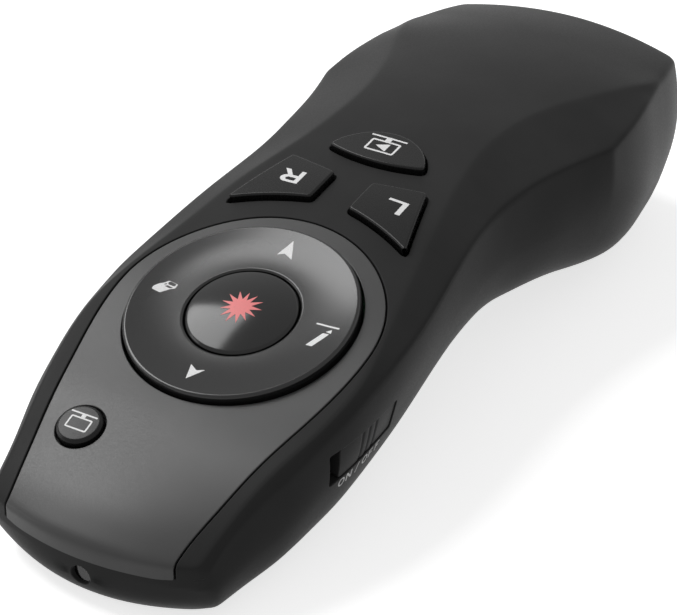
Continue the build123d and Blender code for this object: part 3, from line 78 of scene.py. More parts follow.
class Tree:
    """Shader tree of one material, with short calls for the nodes used here."""

    NOISE_LOW = 0.3
    NOISE_HIGH = 0.7

    def __init__(self, name: str) -> None:
        """Starts an empty material.

        Args:
            name: the material's name.
        """
        self.material = bpy.data.materials.new(name)
        self.material.use_nodes = True
        self.nodes = self.material.node_tree.nodes
        self.links = self.material.node_tree.links
        self.nodes.clear()
        self.output = self.nodes.new("ShaderNodeOutputMaterial")
        self.place = self.nodes.new("ShaderNodeTexCoord").outputs["Object"]

    def add(self, kind: str, **values: object) -> bpy.types.Node:
        """Adds a node and fills its inputs or properties.

        Args:
            kind: Blender's name of the node's type.
            values: input or property names with a number, a colour or a socket to link.

        Returns:
            The new node.
        """
        node = self.nodes.new(kind)
        for key, value in values.items():
            if key in node.inputs:
                self.feed(node.inputs[key], value)
            else:
                setattr(node, key, value)
        return node

    def feed(self, socket: Socket, value: object) -> None:
        """Links or sets one input.

        Args:
            socket: the input.
            value: a socket to link, or a value to set.
        """
        if isinstance(value, Socket):
            self.links.new(value, socket)
        elif isinstance(value, tuple) and len(value) == 3 and socket.type == "RGBA":
            socket.default_value = (*value, 1.0)
        else:
            socket.default_value = value

    def noise(self, size: float, detail: float = 3.0, stretch: Point = (1.0, 1.0, 1.0)) -> Socket:
        """Noise in object space.

        Args:
            size: size of its grains in millimetres.
            detail: octaves.
            stretch: factors along each axis; below one draws the grain out along it.

        Returns:
            The noise value's socket.
        """
        drawn = self.add("ShaderNodeMapping", Vector=self.place, Scale=stretch)
        scale = 1.0 / (size * MM)
        made = self.add("ShaderNodeTexNoise", Vector=drawn.outputs["Vector"], Scale=scale, Detail=detail)
        return made.outputs["Fac"]

    def spread(self, value: Socket, low: float, high: float) -> Socket:
        """Spreads a value that lies around one half over a range.

        Args:
            value: the value's socket.
            low: result where the value is low.
            high: result where it is high.

        Returns:
            The result's socket.
        """
        ends = {"From Min": self.NOISE_LOW, "From Max": self.NOISE_HIGH, "To Min": low, "To Max": high}
        return self.add("ShaderNodeMapRange", Value=value, **ends).outputs["Result"]

    def blend(self, factor: Socket, first: object, second: object) -> Socket:
        """Mixes two colours.

        Args:
            factor: share of the second colour.
            first: colour or socket.
            second: colour or socket.

        Returns:
            The mixed colour's socket.
        """
        mixed = self.nodes.new("ShaderNodeMix")
        mixed.data_type = "RGBA"
        self.links.new(factor, mixed.inputs["Factor"])
        self.feed(mixed.inputs["A"], first)
        self.feed(mixed.inputs["B"], second)
        return mixed.outputs["Result"]

    def relief(self, height: Socket, depth: float) -> Socket:
        """Bump from a height.

        Args:
            height: the height's socket, from zero to one.
            depth: the relief's depth in millimetres.

        Returns:
            The normal's socket.
        """
        bump = self.add("ShaderNodeBump", Height=height, Strength=1.0, Distance=depth * MM)
        return bump.outputs["Normal"]

    def close(self, shader: bpy.types.Node) -> Material:
        """Joins a shader to the output.

        Args:
            shader: the last shader node.

        Returns:
            The finished material.
        """
        self.links.new(shader.outputs[0], self.output.inputs["Surface"])
        return self.material

    def finish(self, inputs: dict[str, object]) -> Material:
        """Closes the tree with a principled shader.

        Args:
            inputs: names of the shader's inputs, each with a number, a colour or a socket to link.

        Returns:
            The finished material.
        """
        return self.close(self.add("ShaderNodeBsdfPrincipled", **inputs))


# ---- Finishes ----


@dataclass(frozen=True)
class MouldedPlastic:
    """Injection-moulded plastic: fine spark texture, slight clouds in tone and gloss."""

    name: str
    colour: Colour
    variation: float = 0.08
    roughness: float = 0.45
    polish_spread: float = 0.05
    grain: float = 0.22
    relief: float = 0.004
    specular: float = 0.5
    cloud_size: float = 9.0

    def build(self) -> Material:
        """Makes the material; grain sets the bump, slow noise the clouds."""
        tree = Tree(self.name)
        clouds = tree.spread(tree.noise(self.cloud_size, 2.0), 0.0, 1.0)
        dark, light = shade(self.colour, 1 - self.variation), shade(self.colour, 1 + self.variation)
        grain = tree.noise(self.grain, 2.0)
        low, high = self.roughness - self.polish_spread, self.roughness + self.polish_spread
        return tree.finish(
            {
                "Base Color": tree.blend(clouds, dark, light),
                "Roughness": tree.spread(grain, low, high),
                "Normal": tree.relief(grain, self.relief),
                "Specular IOR Level": self.specular,
            }
        )


@dataclass(frozen=True)
class DrawnMetal:
    """Bare or plated metal with faint drawing marks along Y."""

    name: str
    colour: Colour
    roughness: float = 0.3
    relief: float = 0.002
    stain: float = 0.82

    def build(self) -> Material:
        """Makes the material; long thin noise gives the drawing marks."""
        tree = Tree(self.name)
        marks = tree.noise(0.35, 3.0, (1.0, 0.12, 1.0))
        stains = tree.noise(3.0, 3.0)
        dark = shade(self.colour, self.stain)
        return tree.finish(
            {
                "Base Color": tree.blend(tree.spread(stains, 0.0, 1.0), dark, self.colour),
                "Metallic": 1.0,
                "Roughness": tree.spread(marks, self.roughness - 0.08, self.roughness + 0.1),
                "Normal": tree.relief(marks, self.relief),
            }
        )


@dataclass(frozen=True)
class CircuitBoard:
    """Solder mask over copper: lighter tracks in a dark green ground."""

    name: str
    mask: Colour
    track: Colour
    track_width: float = 0.14
    pad_size: Flat = (3.1, 0.9)

    def build(self) -> Material:
        """Makes the material; a square brick pattern stands for the tracks."""
        tree = Tree(self.name)
        bricks = {
            "Scale": 1.0 / MM,
            "Mortar Size": self.track_width,
            "Brick Width": self.pad_size[0],
            "Row Height": self.pad_size[1],
            "Color1": self.mask,
            "Color2": shade(self.mask, 0.85),
            "Mortar": self.track,
        }
        tracks = tree.add("ShaderNodeTexBrick", Vector=tree.place, **bricks)
        return tree.finish(
            {
                "Base Color": tracks.outputs["Color"],
                "Roughness": tree.spread(tree.noise(0.5, 2.0), 0.28, 0.42),
                "Normal": tree.relief(tracks.outputs["Fac"], 0.02),
            }
        )


@dataclass(frozen=True)
class CellWrap:
    """Printed foil on a battery cell: a dark body with a light band towards its ends."""

    name: str
    body: Colour
    band: Colour
    band_from: float

    def build(self) -> Material:
        """Makes the material; the band begins where Y passes a place along the body."""
        tree = Tree(self.name)
        parts = tree.add("ShaderNodeSeparateXYZ", Vector=tree.place)
        edge = tree.add("ShaderNodeMath", operation="GREATER_THAN")
        tree.feed(edge.inputs[0], parts.outputs["Y"])
        edge.inputs[1].default_value = self.band_from * MM
        scuffs = tree.noise(0.6, 4.0, (1.0, 0.3, 1.0))
        return tree.finish(
            {
                "Base Color": tree.blend(edge.outputs["Value"], self.body, self.band),
                "Metallic": 0.5,
                "Roughness": tree.spread(scuffs, 0.22, 0.4),
                "Normal": tree.relief(scuffs, 0.002),
            }
        )


@dataclass(frozen=True)
class ClearPlastic:
    """See-through plastic with a tint and a faintly uneven polish."""

    name: str
    tint: Colour
    roughness: float = 0.06
    ior: float = 1.49

    def build(self) -> Material:
        """Makes the material; noise moves its roughness a little."""
        tree = Tree(self.name)
        polish = tree.noise(0.8, 2.0)
        return tree.finish(
            {
                "Base Color": self.tint,
                "Transmission Weight": 1.0,
                "IOR": self.ior,
                "Roughness": tree.spread(polish, self.roughness, self.roughness + 0.06),
            }
        )


@dataclass(frozen=True)
class PrintInk:
    """Pad-printed ink: matt, slightly thin in places so that the ground shows."""

    name: str
    colour: Colour
    thinned: float = 0.82

    def build(self) -> Material:
        """Makes the material; fine noise thins the ink."""
        tree = Tree(self.name)
        cover = tree.noise(0.12, 3.0)
        thin = shade(self.colour, self.thinned)
        return tree.finish(
            {
                "Base Color": tree.blend(tree.spread(cover, 0.0, 1.0), thin, self.colour),
                "Roughness": tree.spread(cover, 0.45, 0.6),
                "Normal": tree.relief(cover, 0.002),
            }
        )


class Slot(Enum):
    """The record's material slots, each with its finish."""

    SHELL = MouldedPlastic("shell_black", (0.032, 0.032, 0.032), roughness=0.42, specular=0.04)
    # Key panel: the shell's own plastic, its colour set lighter as painted sheen for the light that its top
    # catches; panel_grey is the record's name for it.
    PANEL = MouldedPlastic("panel_grey", (0.052, 0.052, 0.052), roughness=0.36, specular=0.28)
    RING = MouldedPlastic(
        "ring_black", (0.012, 0.012, 0.012),
        roughness=0.17, polish_spread=0.02, relief=0.0002, specular=0.34,
    )
    BUTTON = MouldedPlastic(
        "button_black", (0.01, 0.01, 0.01),
        roughness=0.14, polish_spread=0.02, relief=0.0001, specular=0.28,
    )
    KEY = MouldedPlastic("key_black", (0.007, 0.007, 0.007), roughness=0.27, relief=0.0004, specular=0.17)
    SLIDER = MouldedPlastic("slider_black", (0.031, 0.031, 0.031), roughness=0.42, specular=0.04)
    INNER = MouldedPlastic("inner_grey", (0.14, 0.14, 0.145), roughness=0.5)
    TRAY = MouldedPlastic("tray_black", (0.03, 0.03, 0.032), roughness=0.5)
    CHIP = MouldedPlastic("chip_black", (0.02, 0.02, 0.021), roughness=0.4, relief=0.006)
    SWITCH = MouldedPlastic("switch_black", (0.025, 0.025, 0.025), roughness=0.35)
    PLUNGER = MouldedPlastic("plunger_red", (0.35, 0.02, 0.02), roughness=0.4)
    SCREW = DrawnMetal("screw_black", (0.09, 0.09, 0.095), roughness=0.4)
    STEEL = DrawnMetal("steel", (0.58, 0.58, 0.59))
    SPRING = DrawnMetal("spring_steel", (0.52, 0.52, 0.54), roughness=0.24)
    BRASS = DrawnMetal("brass", (0.68, 0.48, 0.2))
    BOARD = CircuitBoard("board_green", (0.012, 0.085, 0.03), (0.03, 0.16, 0.06))
    CELL = CellWrap("cell_wrap", (0.05, 0.05, 0.055), (0.55, 0.36, 0.12), 42.0)
    LENS = ClearPlastic("lens_clear", (0.9, 0.95, 1.0))
    WINDOW = ClearPlastic("window_smoked", (0.02, 0.014, 0.011), 0.08)


class Ink(Enum):
    """Printed colours."""

    WHITE = PrintInk("print_white", (0.95, 0.95, 0.95))
    RED = PrintInk("print_red", (0.95, 0.25, 0.25))
    GREY = PrintInk("print_grey", (0.75, 0.75, 0.75))


class Paints:
    """Builds each finish once and hands it out."""

    def __init__(self) -> None:
        """Starts with no material built."""
        self.built: dict[str, Material] = {}

    def of(self, choice: Slot | Ink) -> Material:
        """Material of a slot or an ink, made when first asked for.

        Args:
            choice: the slot or ink.

        Returns:
            Its material.
        """
        finish = choice.value
        if finish.name not in self.built:
            self.built[finish.name] = finish.build()
        return self.built[finish.name]

    def dress_solids(self) -> None:
        """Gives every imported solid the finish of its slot."""
        by_name = {slot.value.name: slot for slot in Slot}
        for name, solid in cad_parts.items():
            for place in solid.material_slots:
                label = place.material.name.split(".")[0]
                place.material = self.of(by_name[label])
            LOG.info("solid %s dressed", name)


# ---- Smooth lines and grids ----


def spline(points: tuple[tuple[float, float], ...], at: Array) -> Array:
    """Smooth curve through points: cubics whose slope and bend agree where they meet.

    Args:
        points: (place, value) pairs in rising order of place.
        at: places to read.

    Returns:
        The values there; straight on beyond the ends' cubics.
    """
    place, value = np.array(points).T
    step = np.diff(place)
    slope = np.diff(value) / step
    count = len(place)
    rows = np.eye(count)
    inner = np.arange(1, count - 1)
    rows[inner, inner - 1] = step[:-1]
    rows[inner, inner] = 2 * (step[:-1] + step[1:])
    rows[inner, inner + 1] = step[1:]
    bend = np.linalg.solve(rows, np.concatenate(([0.0], 6 * np.diff(slope), [0.0])))
    k = np.clip(np.searchsorted(place, at) - 1, 0, count - 2)
    left, right = place[k + 1] - at, at - place[k]
    return (
        bend[k] * left**3 / (6 * step[k])
        + bend[k + 1] * right**3 / (6 * step[k])
        + (value[k] / step[k] - bend[k] * step[k] / 6) * left
        + (value[k + 1] / step[k] - bend[k + 1] * step[k] / 6) * right
    )


def lengths(rows: Array) -> Array:
    """Running length along each row of points, starting at zero.

    Args:
        rows: points, shaped (rows, points, axes).

    Returns:
        Lengths, shaped (rows, points).
    """
    steps = np.linalg.norm(np.diff(rows, axis=1), axis=2)
    return np.concatenate((np.zeros((len(rows), 1)), np.cumsum(steps, axis=1)), axis=1)


def read_rows(rows: Array, along: Array, at: Array) -> Array:
    """Reads each row of points at new places along it, straight between its points.

    Args:
        rows: points, shaped (rows, points, axes).
        along: rising place of each point, shaped (rows, points).
        at: places to read, shaped (rows, wanted).

    Returns:
        Points, shaped (rows, wanted, axes).
    """
    count, size = along.shape
    reach = 2 * (max(along.max(), at.max()) + 1.0)
    lift = reach * np.arange(count)[:, None]
    found = np.searchsorted((along + lift).ravel(), (at + lift).ravel()).reshape(at.shape)
    right = np.clip(found - np.arange(count)[:, None] * size, 1, size - 1)
    row = np.arange(count)[:, None]
    start, end = along[row, right - 1], along[row, right]
    share = np.clip((at - start) / np.maximum(end - start, 1e-9), 0, 1)[..., None]
    return rows[row, right - 1] * (1 - share) + rows[row, right] * share


def bell_reach(radius: float) -> int:
    """Number of points that a bell reaches to each side, three half widths."""
    return int(math.ceil(3 * radius))


def soften(rows: Array, radius: float) -> Array:
    """Averages each row of evenly spaced points with a bell-shaped weight; rows must be padded.

    Args:
        rows: points, shaped (rows, points, axes).
        radius: the bell's half width in points.

    Returns:
        The averaged points; three radii at each end are lost.
    """
    reach = bell_reach(radius)
    weights = np.exp(-0.5 * (np.arange(-reach, reach + 1) / radius) ** 2)
    weights /= weights.sum()
    size = rows.shape[1] - 2 * reach
    total = np.zeros((rows.shape[0], size, rows.shape[2]))
    for k, weight in enumerate(weights):
        total += weight * rows[:, k : k + size]
    return total


def soften_open(rows: Array, radius: float) -> Array:
    """Softens rows of points as above, each first carried on past its ends by a half turn about them."""
    pad = bell_reach(radius)
    before, after = 2 * rows[:, :1] - rows[:, pad:0:-1], 2 * rows[:, -1:] - rows[:, -2 : -pad - 2 : -1]
    return soften(np.concatenate((before, rows, after), axis=1), radius)


def even_places(along: Array, step: float) -> Array:
    """Evenly spaced places on each row, about a step apart, from its start to its end."""
    return np.linspace(0, 1, int(along[:, -1].mean() / step) + 1)[None] * along[:, -1:]


def unit(vectors: Array) -> Array:
    """Vectors brought to length one, along the last axis."""
    return vectors / np.maximum(np.linalg.norm(vectors, axis=-1, keepdims=True), 1e-12)


# ---- The body's outer surface ----


@dataclass
class BodyForm:
    """Outer surface of the handset in millimetres, as one grid of points.

    Across, each section is an arc over the back, a straight facet, a full side and a flat keel.
    Along, each line starts in the middle of the nose face, runs over its edge, along the body and
    over the tail's edge to the middle of the tail face. Both ways the corners are softened by a
    bell-shaped average.
    """

    crest: tuple = (
        (-68.1, 6.90), (-63.8, 9.00), (-59.2, 11.60), (-54.2, 13.53), (-48.1, 15.83),
        (-41.0, 17.87), (-28.2, 21.36), (-16.3, 24.60), (-5.8, 26.85), (4.8, 27.90), (13.9, 28.80),
        (23.9, 29.20), (33.8, 29.10), (43.8, 28.50), (53.8, 27.20), (63.8, 25.10), (70.1, 23.80),
    )
    shoulder: tuple = (
        (-68.1, 14.00), (-59.2, 15.05), (-52.1, 16.18), (-41.0, 18.75), (-35.3, 19.60),
        (-30.7, 19.60), (-26.2, 18.82), (-21.6, 17.84), (-14.7, 16.31), (-5.8, 14.48),
        (2.8, 12.53), (11.9, 11.20), (18.3, 11.07), (23.2, 11.60), (29.3, 13.10), (36.1, 15.58),
        (40.6, 17.34), (43.8, 18.50), (45.8, 19.17), (48.1, 19.50), (52.0, 18.92), (55.8, 18.00),
        (63.8, 15.74), (70.1, 14.00),
    )
    shoulder_drop: tuple = (
        (-68.1, 2.20), (-63.8, 1.90), (-59.2, 1.60), (-52.1, 0.70), (-41.0, 0.45), (-26.2, 0.40),
        (-14.7, 0.90), (-5.8, 0.75), (2.8, 0.40), (11.9, 0.40), (18.3, 0.50), (29.3, 0.90),
        (36.1, 1.35), (43.8, 1.85), (48.1, 2.40), (55.8, 2.20), (70.1, 1.80),
    )
    facet_slope: tuple = (
        (-68.1, 1.22), (-52.1, 1.19), (-35.3, 1.15), (-30.7, 1.00), (-26.2, 0.68), (-21.6, 0.56),
        (-14.7, 0.49), (-5.8, 0.47), (2.8, 0.42), (11.9, 0.38), (18.3, 0.39), (29.3, 0.39),
        (36.1, 0.39), (40.6, 0.46), (43.8, 0.58), (48.1, 1.00), (55.8, 1.00), (70.1, 1.17),
    )
    edge_front: tuple = (
        (-68.1, 14.90), (-63.8, 15.60), (-56.7, 16.20), (-52.1, 17.10), (-47.1, 18.50),
        (-41.0, 19.70), (-35.3, 20.60), (-30.7, 20.90), (-24.9, 21.00), (-16.3, 20.40),
        (-7.4, 19.20), (-0.1, 18.30), (6.0, 18.10), (11.9, 18.60), (20.7, 20.20), (29.3, 22.60),
    )
    edge_rear: tuple = (
        (29.3, 22.60), (35.9, 22.30), (43.8, 21.10), (48.1, 20.20), (55.8, 18.60), (61.8, 16.90),
        (70.1, 14.60),
    )
    flank: tuple = (
        (-68.1, 15.40), (-59.2, 16.56), (-52.1, 17.70), (-47.1, 18.87), (-41.0, 19.70),
        (-35.3, 20.20), (-28.2, 20.19), (-21.6, 20.00), (-16.3, 19.70), (-7.4, 19.08),
        (-0.1, 18.79), (6.0, 18.95), (11.9, 19.60), (18.3, 20.67), (24.4, 21.68), (31.2, 22.51),
        (36.8, 22.39), (43.8, 21.24), (48.1, 20.30), (55.8, 18.72), (61.8, 17.05), (70.1, 14.80),
    )
    keel: tuple = (
        (-68.1, -0.15), (-38.9, -0.15), (-28.2, 0.68), (-18.3, 2.89), (-8.1, 5.85), (-0.1, 7.37),
        (6.0, 7.60), (11.9, 6.69), (19.7, 5.02), (27.8, 2.89), (35.9, 0.91), (43.8, -0.15),
        (70.1, -0.15),
    )
    bilge: tuple = (
        (-68.1, 5.00), (-52.1, 6.50), (-41.0, 8.80), (-28.2, 10.50), (-8.1, 9.50), (2.8, 9.00),
        (11.9, 9.50), (20.7, 11.00), (31.2, 11.50), (40.6, 10.30), (48.1, 9.50), (70.1, 10.00),
    )
    nose_lean: tuple = ((0.0, 2.60), (1.9, 0.80), (6.0, 0.0), (9.0, 0.0), (16.0, 0.0))
    tail_lean: tuple = (
        (0.0, 15.5), (1.0, 9.5), (3.7, 4.5), (8.5, 1.2), (14.0, 0.0), (20.0, 0.6), (25.3, 2.2),
    )
    nose_y: float = -63.8
    tail_y: float = 63.8
    hip_y: float = 29.3
    nose_pole: float = 4.2
    tail_pole: float = 14.0
    nose_curve: tuple = (0.0235, 0.0134)
    tail_curve: float = 0.0076
    crease_softness: float = 0.32
    edge_softness: float = 0.75
    body_softness: float = 0.4
    across: tuple = (14.0, 6.0, 24.0, 12.0)
    along: tuple = (6.0, 127.6, 14.0)
    spacing: float = 0.2
    arc_parts: int = 80
    facet_parts: int = 40
    side_points: int = 56
    side_start: Flat = (0.15, -1.0)
    section_count: int = 1401
    beyond_ends: Flat = (3.5, 5.0)
    nose_curve_top: float = 6.0
    least_facet: float = 0.55
    bilge_limit: float = 0.75
    tube_step: float = 0.1
    line_step: float = 0.12
    blend_from: float = 6.0
    blend_width: float = 4.0
    search_rows: int = 8
    search_columns: int = 6
    least_facing: float = 0.15
    depth_weight: float = 0.03
    newton_steps: int = 25

    def __post_init__(self) -> None:
        """Works out the grid of points and normals."""
        self.half = sum(self.across)
        self.length = sum(self.along)
        self.points = self.mirror(self.lines())
        self.normals = self.find_normals()

    def sections(self, y: Array) -> tuple[Array, list[int]]:
        """Right halves of the sections, from the crest down to the keel, corners sharp.

        The arc has the shoulder's drop as its height over the half chord; the facet falls with
        its slope; the side is a cubic through edge, fullest point and bilge with given directions
        at its ends; the keel is level.

        Args:
            y: places along the body.

        Returns:
            Points (x, z) shaped (sections, points, 2), and the numbers of the corner points.
        """
        crest, drop = spline(self.crest, y), spline(self.shoulder_drop, y)
        shoulder, edge = self.facet_ends(y)
        edge_z = crest - drop - spline(self.facet_slope, y) * (edge - shoulder)
        side, keel = spline(self.flank, y), spline(self.keel, y)
        bilge = np.minimum(spline(self.bilge, y), self.bilge_limit * (edge_z - keel))
        part = np.linspace(0, 1, self.arc_parts + 1)
        radius = (shoulder**2 + drop**2) / (2 * drop)
        angle = np.arcsin(shoulder / radius)[:, None] * part
        across, up = radius[:, None] * np.sin(angle), radius[:, None] * np.cos(angle)
        arc = np.stack((across, (crest - radius)[:, None] + up), -1)
        turn = bilge * (1 - math.sqrt(0.5))
        corners = [
            np.stack(pair, -1)
            for pair in (
                (shoulder, crest - drop),
                (edge, edge_z),
                (side, keel + bilge),
                (side - turn, keel + turn),
                (side - bilge, keel),
                (0 * keel, keel),
            )
        ]
        first, second = self.arc_parts, self.arc_parts + self.facet_parts
        facet_part = part[1 : self.facet_parts + 1, None]
        facet = corners[0][:, None] + (corners[1] - corners[0])[:, None] * facet_part / part[self.facet_parts]
        flank = self.side(corners[1:5])
        floor = corners[4][:, None] + (corners[5] - corners[4])[:, None] * part[2::2, None]
        rows = np.concatenate((arc, facet, flank, floor), axis=1)
        rows[..., 1] = np.maximum(rows[..., 1], 0.0)
        return rows, [0, first, second, second + flank.shape[1], rows.shape[1] - 1]

    def facet_ends(self, y: Array) -> tuple[Array, Array]:
        """Half widths of the shoulder and of the crease, between which the facet lies."""
        edge = np.where(y < self.hip_y, spline(self.edge_front, y), spline(self.edge_rear, y))
        return np.minimum(spline(self.shoulder, y), edge - self.least_facet), edge

    def edge_height(self, y: Array) -> Array:
        """Height of the crease between the facet and the side."""
        shoulder, edge = self.facet_ends(y)
        drop = spline(self.shoulder_drop, y) + spline(self.facet_slope, y) * (edge - shoulder)
        return spline(self.crest, y) - drop

    def side(self, corners: list[Array]) -> Array:
        """Cubic through edge, fullest point, bilge and keel of each section.

        Args:
            corners: the four corner arrays, shaped (sections, 2).

        Returns:
            Points after the edge, shaped (sections, points, 2).
        """
        spans = [np.linalg.norm(b - a, axis=1, keepdims=True) for a, b in zip(corners, corners[1:])]
        chords = [(b - a) / span for a, b, span in zip(corners, corners[1:], spans)]
        start = unit(np.array([self.side_start])) + 0 * chords[0]
        finish = np.array([[-1.0, 0.0]]) + 0 * chords[0]
        bends = [
            (chords[k] * spans[k + 1] + chords[k + 1] * spans[k]) / (spans[k] + spans[k + 1])
            for k in range(2)
        ]
        slopes = [start, *bends, finish]
        part = np.linspace(0, 1, self.side_points)[None, 1:, None]
        curves = [
            corners[k][:, None] * (2 * part**3 - 3 * part**2 + 1)
            + (slopes[k] * spans[k])[:, None] * (part**3 - 2 * part**2 + part)
            + corners[k + 1][:, None] * (3 * part**2 - 2 * part**3)
            + (slopes[k + 1] * spans[k])[:, None] * (part**3 - part**2)
            for k in range(3)
        ]
        return np.concatenate(curves, axis=1)

    def tube(self, y: Array) -> Array:
        """Sections with softened corners, read at even shares of each of their four parts.

        Args:
            y: places along the body.

        Returns:
            Points (x, z), shaped (sections, columns, 2).
        """
        rows, corners = self.sections(y)
        along = lengths(rows)
        even = even_places(along, self.tube_step)
        rows = read_rows(rows, along, even)
        radius = self.crease_softness / self.tube_step
        pad = bell_reach(radius)
        flip = np.array([-1.0, 1.0])
        before, after = rows[:, pad:0:-1] * flip, rows[:, -2 : -pad - 2 : -1] * flip
        rows = soften(np.concatenate((before, rows, after), axis=1), radius)
        marks = along[:, corners].T[..., None]
        wanted = [
            start + (end - start) * self.shares(width, k == 3)
            for k, (start, end, width) in enumerate(zip(marks[:-1], marks[1:], self.across))
        ]
        return read_rows(rows, even, np.concatenate(wanted, axis=1))

    def shares(self, width: float, closed: bool) -> Array:
        """Even shares of a stretch of the grid, with its end only if it is the last one."""
        count = int(round(width / self.spacing))
        return (np.arange(count + closed) / count)[None]

    def nose_face(self, x: Array, z: Array) -> Array:
        """Place of the nose face: its lean at that height, and a bulge that grows towards the foot."""
        foot, edge = self.nose_curve
        curve = foot + (edge - foot) * np.clip(z / self.nose_curve_top, 0, 1)
        return self.nose_y + spline(self.nose_lean, z) + curve * x**2

    def tail_face(self, x: Array, z: Array) -> Array:
        """Place of the tail face: its roll at that height, less a bulge."""
        return self.tail_y - np.interp(z, *np.array(self.tail_lean).T) - self.tail_curve * x**2

    def lines(self) -> Array:
        """Lines along the right half of the body, shaped (rows along, columns across, 3)."""
        before, after = self.beyond_ends
        y = np.linspace(self.nose_y - before, self.tail_y + after, self.section_count)
        grid = self.tube(y).transpose(1, 0, 2)
        x, z = grid[..., 0], grid[..., 1]
        front = y - self.nose_face(x, z)
        back = self.tail_face(x, z) - y
        first = len(y) - np.argmax((front < 0)[:, ::-1], axis=1)
        middle = np.abs(y - self.hip_y).argmin()  # the tail face is looked for behind the hip
        last = middle + np.argmax((back < 0)[:, middle:], axis=1)
        row = np.arange(len(x))
        ends = []
        for level, inside, outside in ((front, first, first - 1), (back, last - 1, last)):
            a, b = level[row, inside], level[row, outside]
            share = a / (a - b)
            ends.append(y[inside] + share * (y[outside] - y[inside]))
        start, finish = ends
        wanted = start[:, None] + (finish - start)[:, None] * self.shares(self.along[1], True)
        places = read_rows(grid, np.broadcast_to(y, x.shape), wanted)
        middle_part = np.stack((places[..., 0], wanted, places[..., 1]), -1)
        nose = self.cap(middle_part[:, 0], self.nose_pole, self.nose_face, self.along[0])
        tail = self.cap(middle_part[:, -1], self.tail_pole, self.tail_face, self.along[2])[:, ::-1]
        rows = np.concatenate((nose[:, :-1], middle_part, tail[:, 1:]), axis=1)
        return self.round_ends(rows).transpose(1, 0, 2)

    def cap(self, rim: Array, height: float, face: Callable, width: float) -> Array:
        """Lines over an end face, straight in the end view from its middle to its rim.

        Args:
            rim: points where the body meets the face, shaped (columns, 3).
            height: height of the face's middle.
            face: function that gives the face's place at (x, z).
            width: width of this stretch of the grid.

        Returns:
            Points, shaped (columns, points, 3), the rim last.
        """
        part = self.shares(width, True)
        x = rim[:, :1] * part
        z = height + (rim[:, 2:] - height) * part
        return np.stack((x, face(x, z), z), -1)

    def round_ends(self, rows: Array) -> Array:
        """Softens lines along the body, more at the nose and the tail than between them.

        Args:
            rows: lines, shaped (columns, points, 3).

        Returns:
            The lines with rounded corners, read at the same shares as before.
        """
        along = lengths(rows)
        even = even_places(along, self.line_step)
        fine = read_rows(rows, along, even)
        at_ends = soften_open(fine, self.edge_softness / self.line_step)
        between = soften_open(fine, self.body_softness / self.line_step)
        reach = np.minimum(fine[..., 1] - self.nose_y, self.tail_y - fine[..., 1])
        share = np.clip((reach - self.blend_from) / self.blend_width, 0, 1)[..., None]
        return read_rows(at_ends * (1 - share) + between * share, even, along)

    def mirror(self, grid: Array) -> Array:
        """Adds the left half, so that columns run from the keel over the left, the back and the right."""
        left = grid[:, :0:-1] * np.array([-1.0, 1.0, 1.0])
        return np.concatenate((left, grid), axis=1)

    def find_normals(self) -> Array:
        """Outward unit normals: along the columns crossed with along the rows."""
        wrapped = np.concatenate((self.points[:, -2:-1], self.points, self.points[:, 1:2]), axis=1)
        across = (wrapped[:, 2:] - wrapped[:, :-2]) / 2
        normals = unit(np.cross(across, np.gradient(self.points, axis=0)))
        normals[0], normals[-1] = (0.0, -1.0, 0.0), (0.0, 1.0, 0.0)
        return normals

    def read(self, table: Array, place: Array) -> Array:
        """Reads a table of the grid between its points.

        Args:
            table: values shaped like the grid.
            place: (across, along) places; across is zero on the crest and positive on the right.

        Returns:
            Values, shaped (places, 3).
        """
        column = (place[..., 0] + self.half) / self.spacing
        row = place[..., 1] / self.spacing
        column = np.clip(column, 0, table.shape[1] - 1.001)
        row = np.clip(row, 0, table.shape[0] - 1.001)
        i, j = row.astype(int), column.astype(int)
        a, b = (row - i)[..., None], (column - j)[..., None]
        return (
            table[i, j] * (1 - a) * (1 - b)
            + table[i + 1, j] * a * (1 - b)
            + table[i, j + 1] * (1 - a) * b
            + table[i + 1, j + 1] * a * b
        )

    def surface(self, place: Array) -> tuple[Array, Array]:
        """Points and unit normals of the surface at (across, along) places."""
        return self.read(self.points, place), unit(self.read(self.normals, place))

    def hit(self, points: Array, direction: Point) -> Array:
        """Places where lines through points leave the body.

        A coarse search gives the nearest grid point that faces the direction; Newton steps in
        the two grid directions then close the distance square to the line.

        Args:
            points: points on the lines, shaped (points, 3).
            direction: direction in which the lines leave.

        Returns:
            (across, along) places, shaped (points, 2).
        """
        way = unit(np.array(direction, float))
        coarse = (slice(None, None, self.search_rows), slice(None, None, self.search_columns))
        spots = self.points[coarse].reshape(-1, 3)
        facing = self.normals[coarse].reshape(-1, 3) @ way > self.least_facing
        offset = points[:, None] - spots[None, facing]
        depth = offset @ way
        offset -= depth[..., None] * way
        nearest = np.argmin((offset**2).sum(-1) + self.depth_weight * depth, axis=1)
        row, column = np.divmod(
            np.flatnonzero(facing)[nearest], len(range(0, self.points.shape[1], self.search_columns))
        )
        column, row = column * self.search_columns * self.spacing, row * self.search_rows * self.spacing
        place = np.stack((column - self.half, row), -1)
        side = unit(np.cross(way, (0.3, 0.5, 0.81)))
        frame_rows = np.stack((side, np.cross(way, side)))
        small = 0.5 * self.spacing
        for _ in range(self.newton_steps):
            gap = (points - self.read(self.points, place)) @ frame_rows.T
            slopes = []
            for step in np.array([[small, 0.0], [0.0, small]]):
                rise = self.read(self.points, place + step) - self.read(self.points, place - step)
                slopes.append(rise @ frame_rows.T / (2 * small))
            (a, b), (c, d) = slopes[0].T, slopes[1].T
            scale = a * d - b * c
            first, second = gap.T
            move = np.stack((d * first - c * second, a * second - b * first), -1) / scale[:, None]
            place = place + np.clip(move, -1.0, 1.0)
        return place

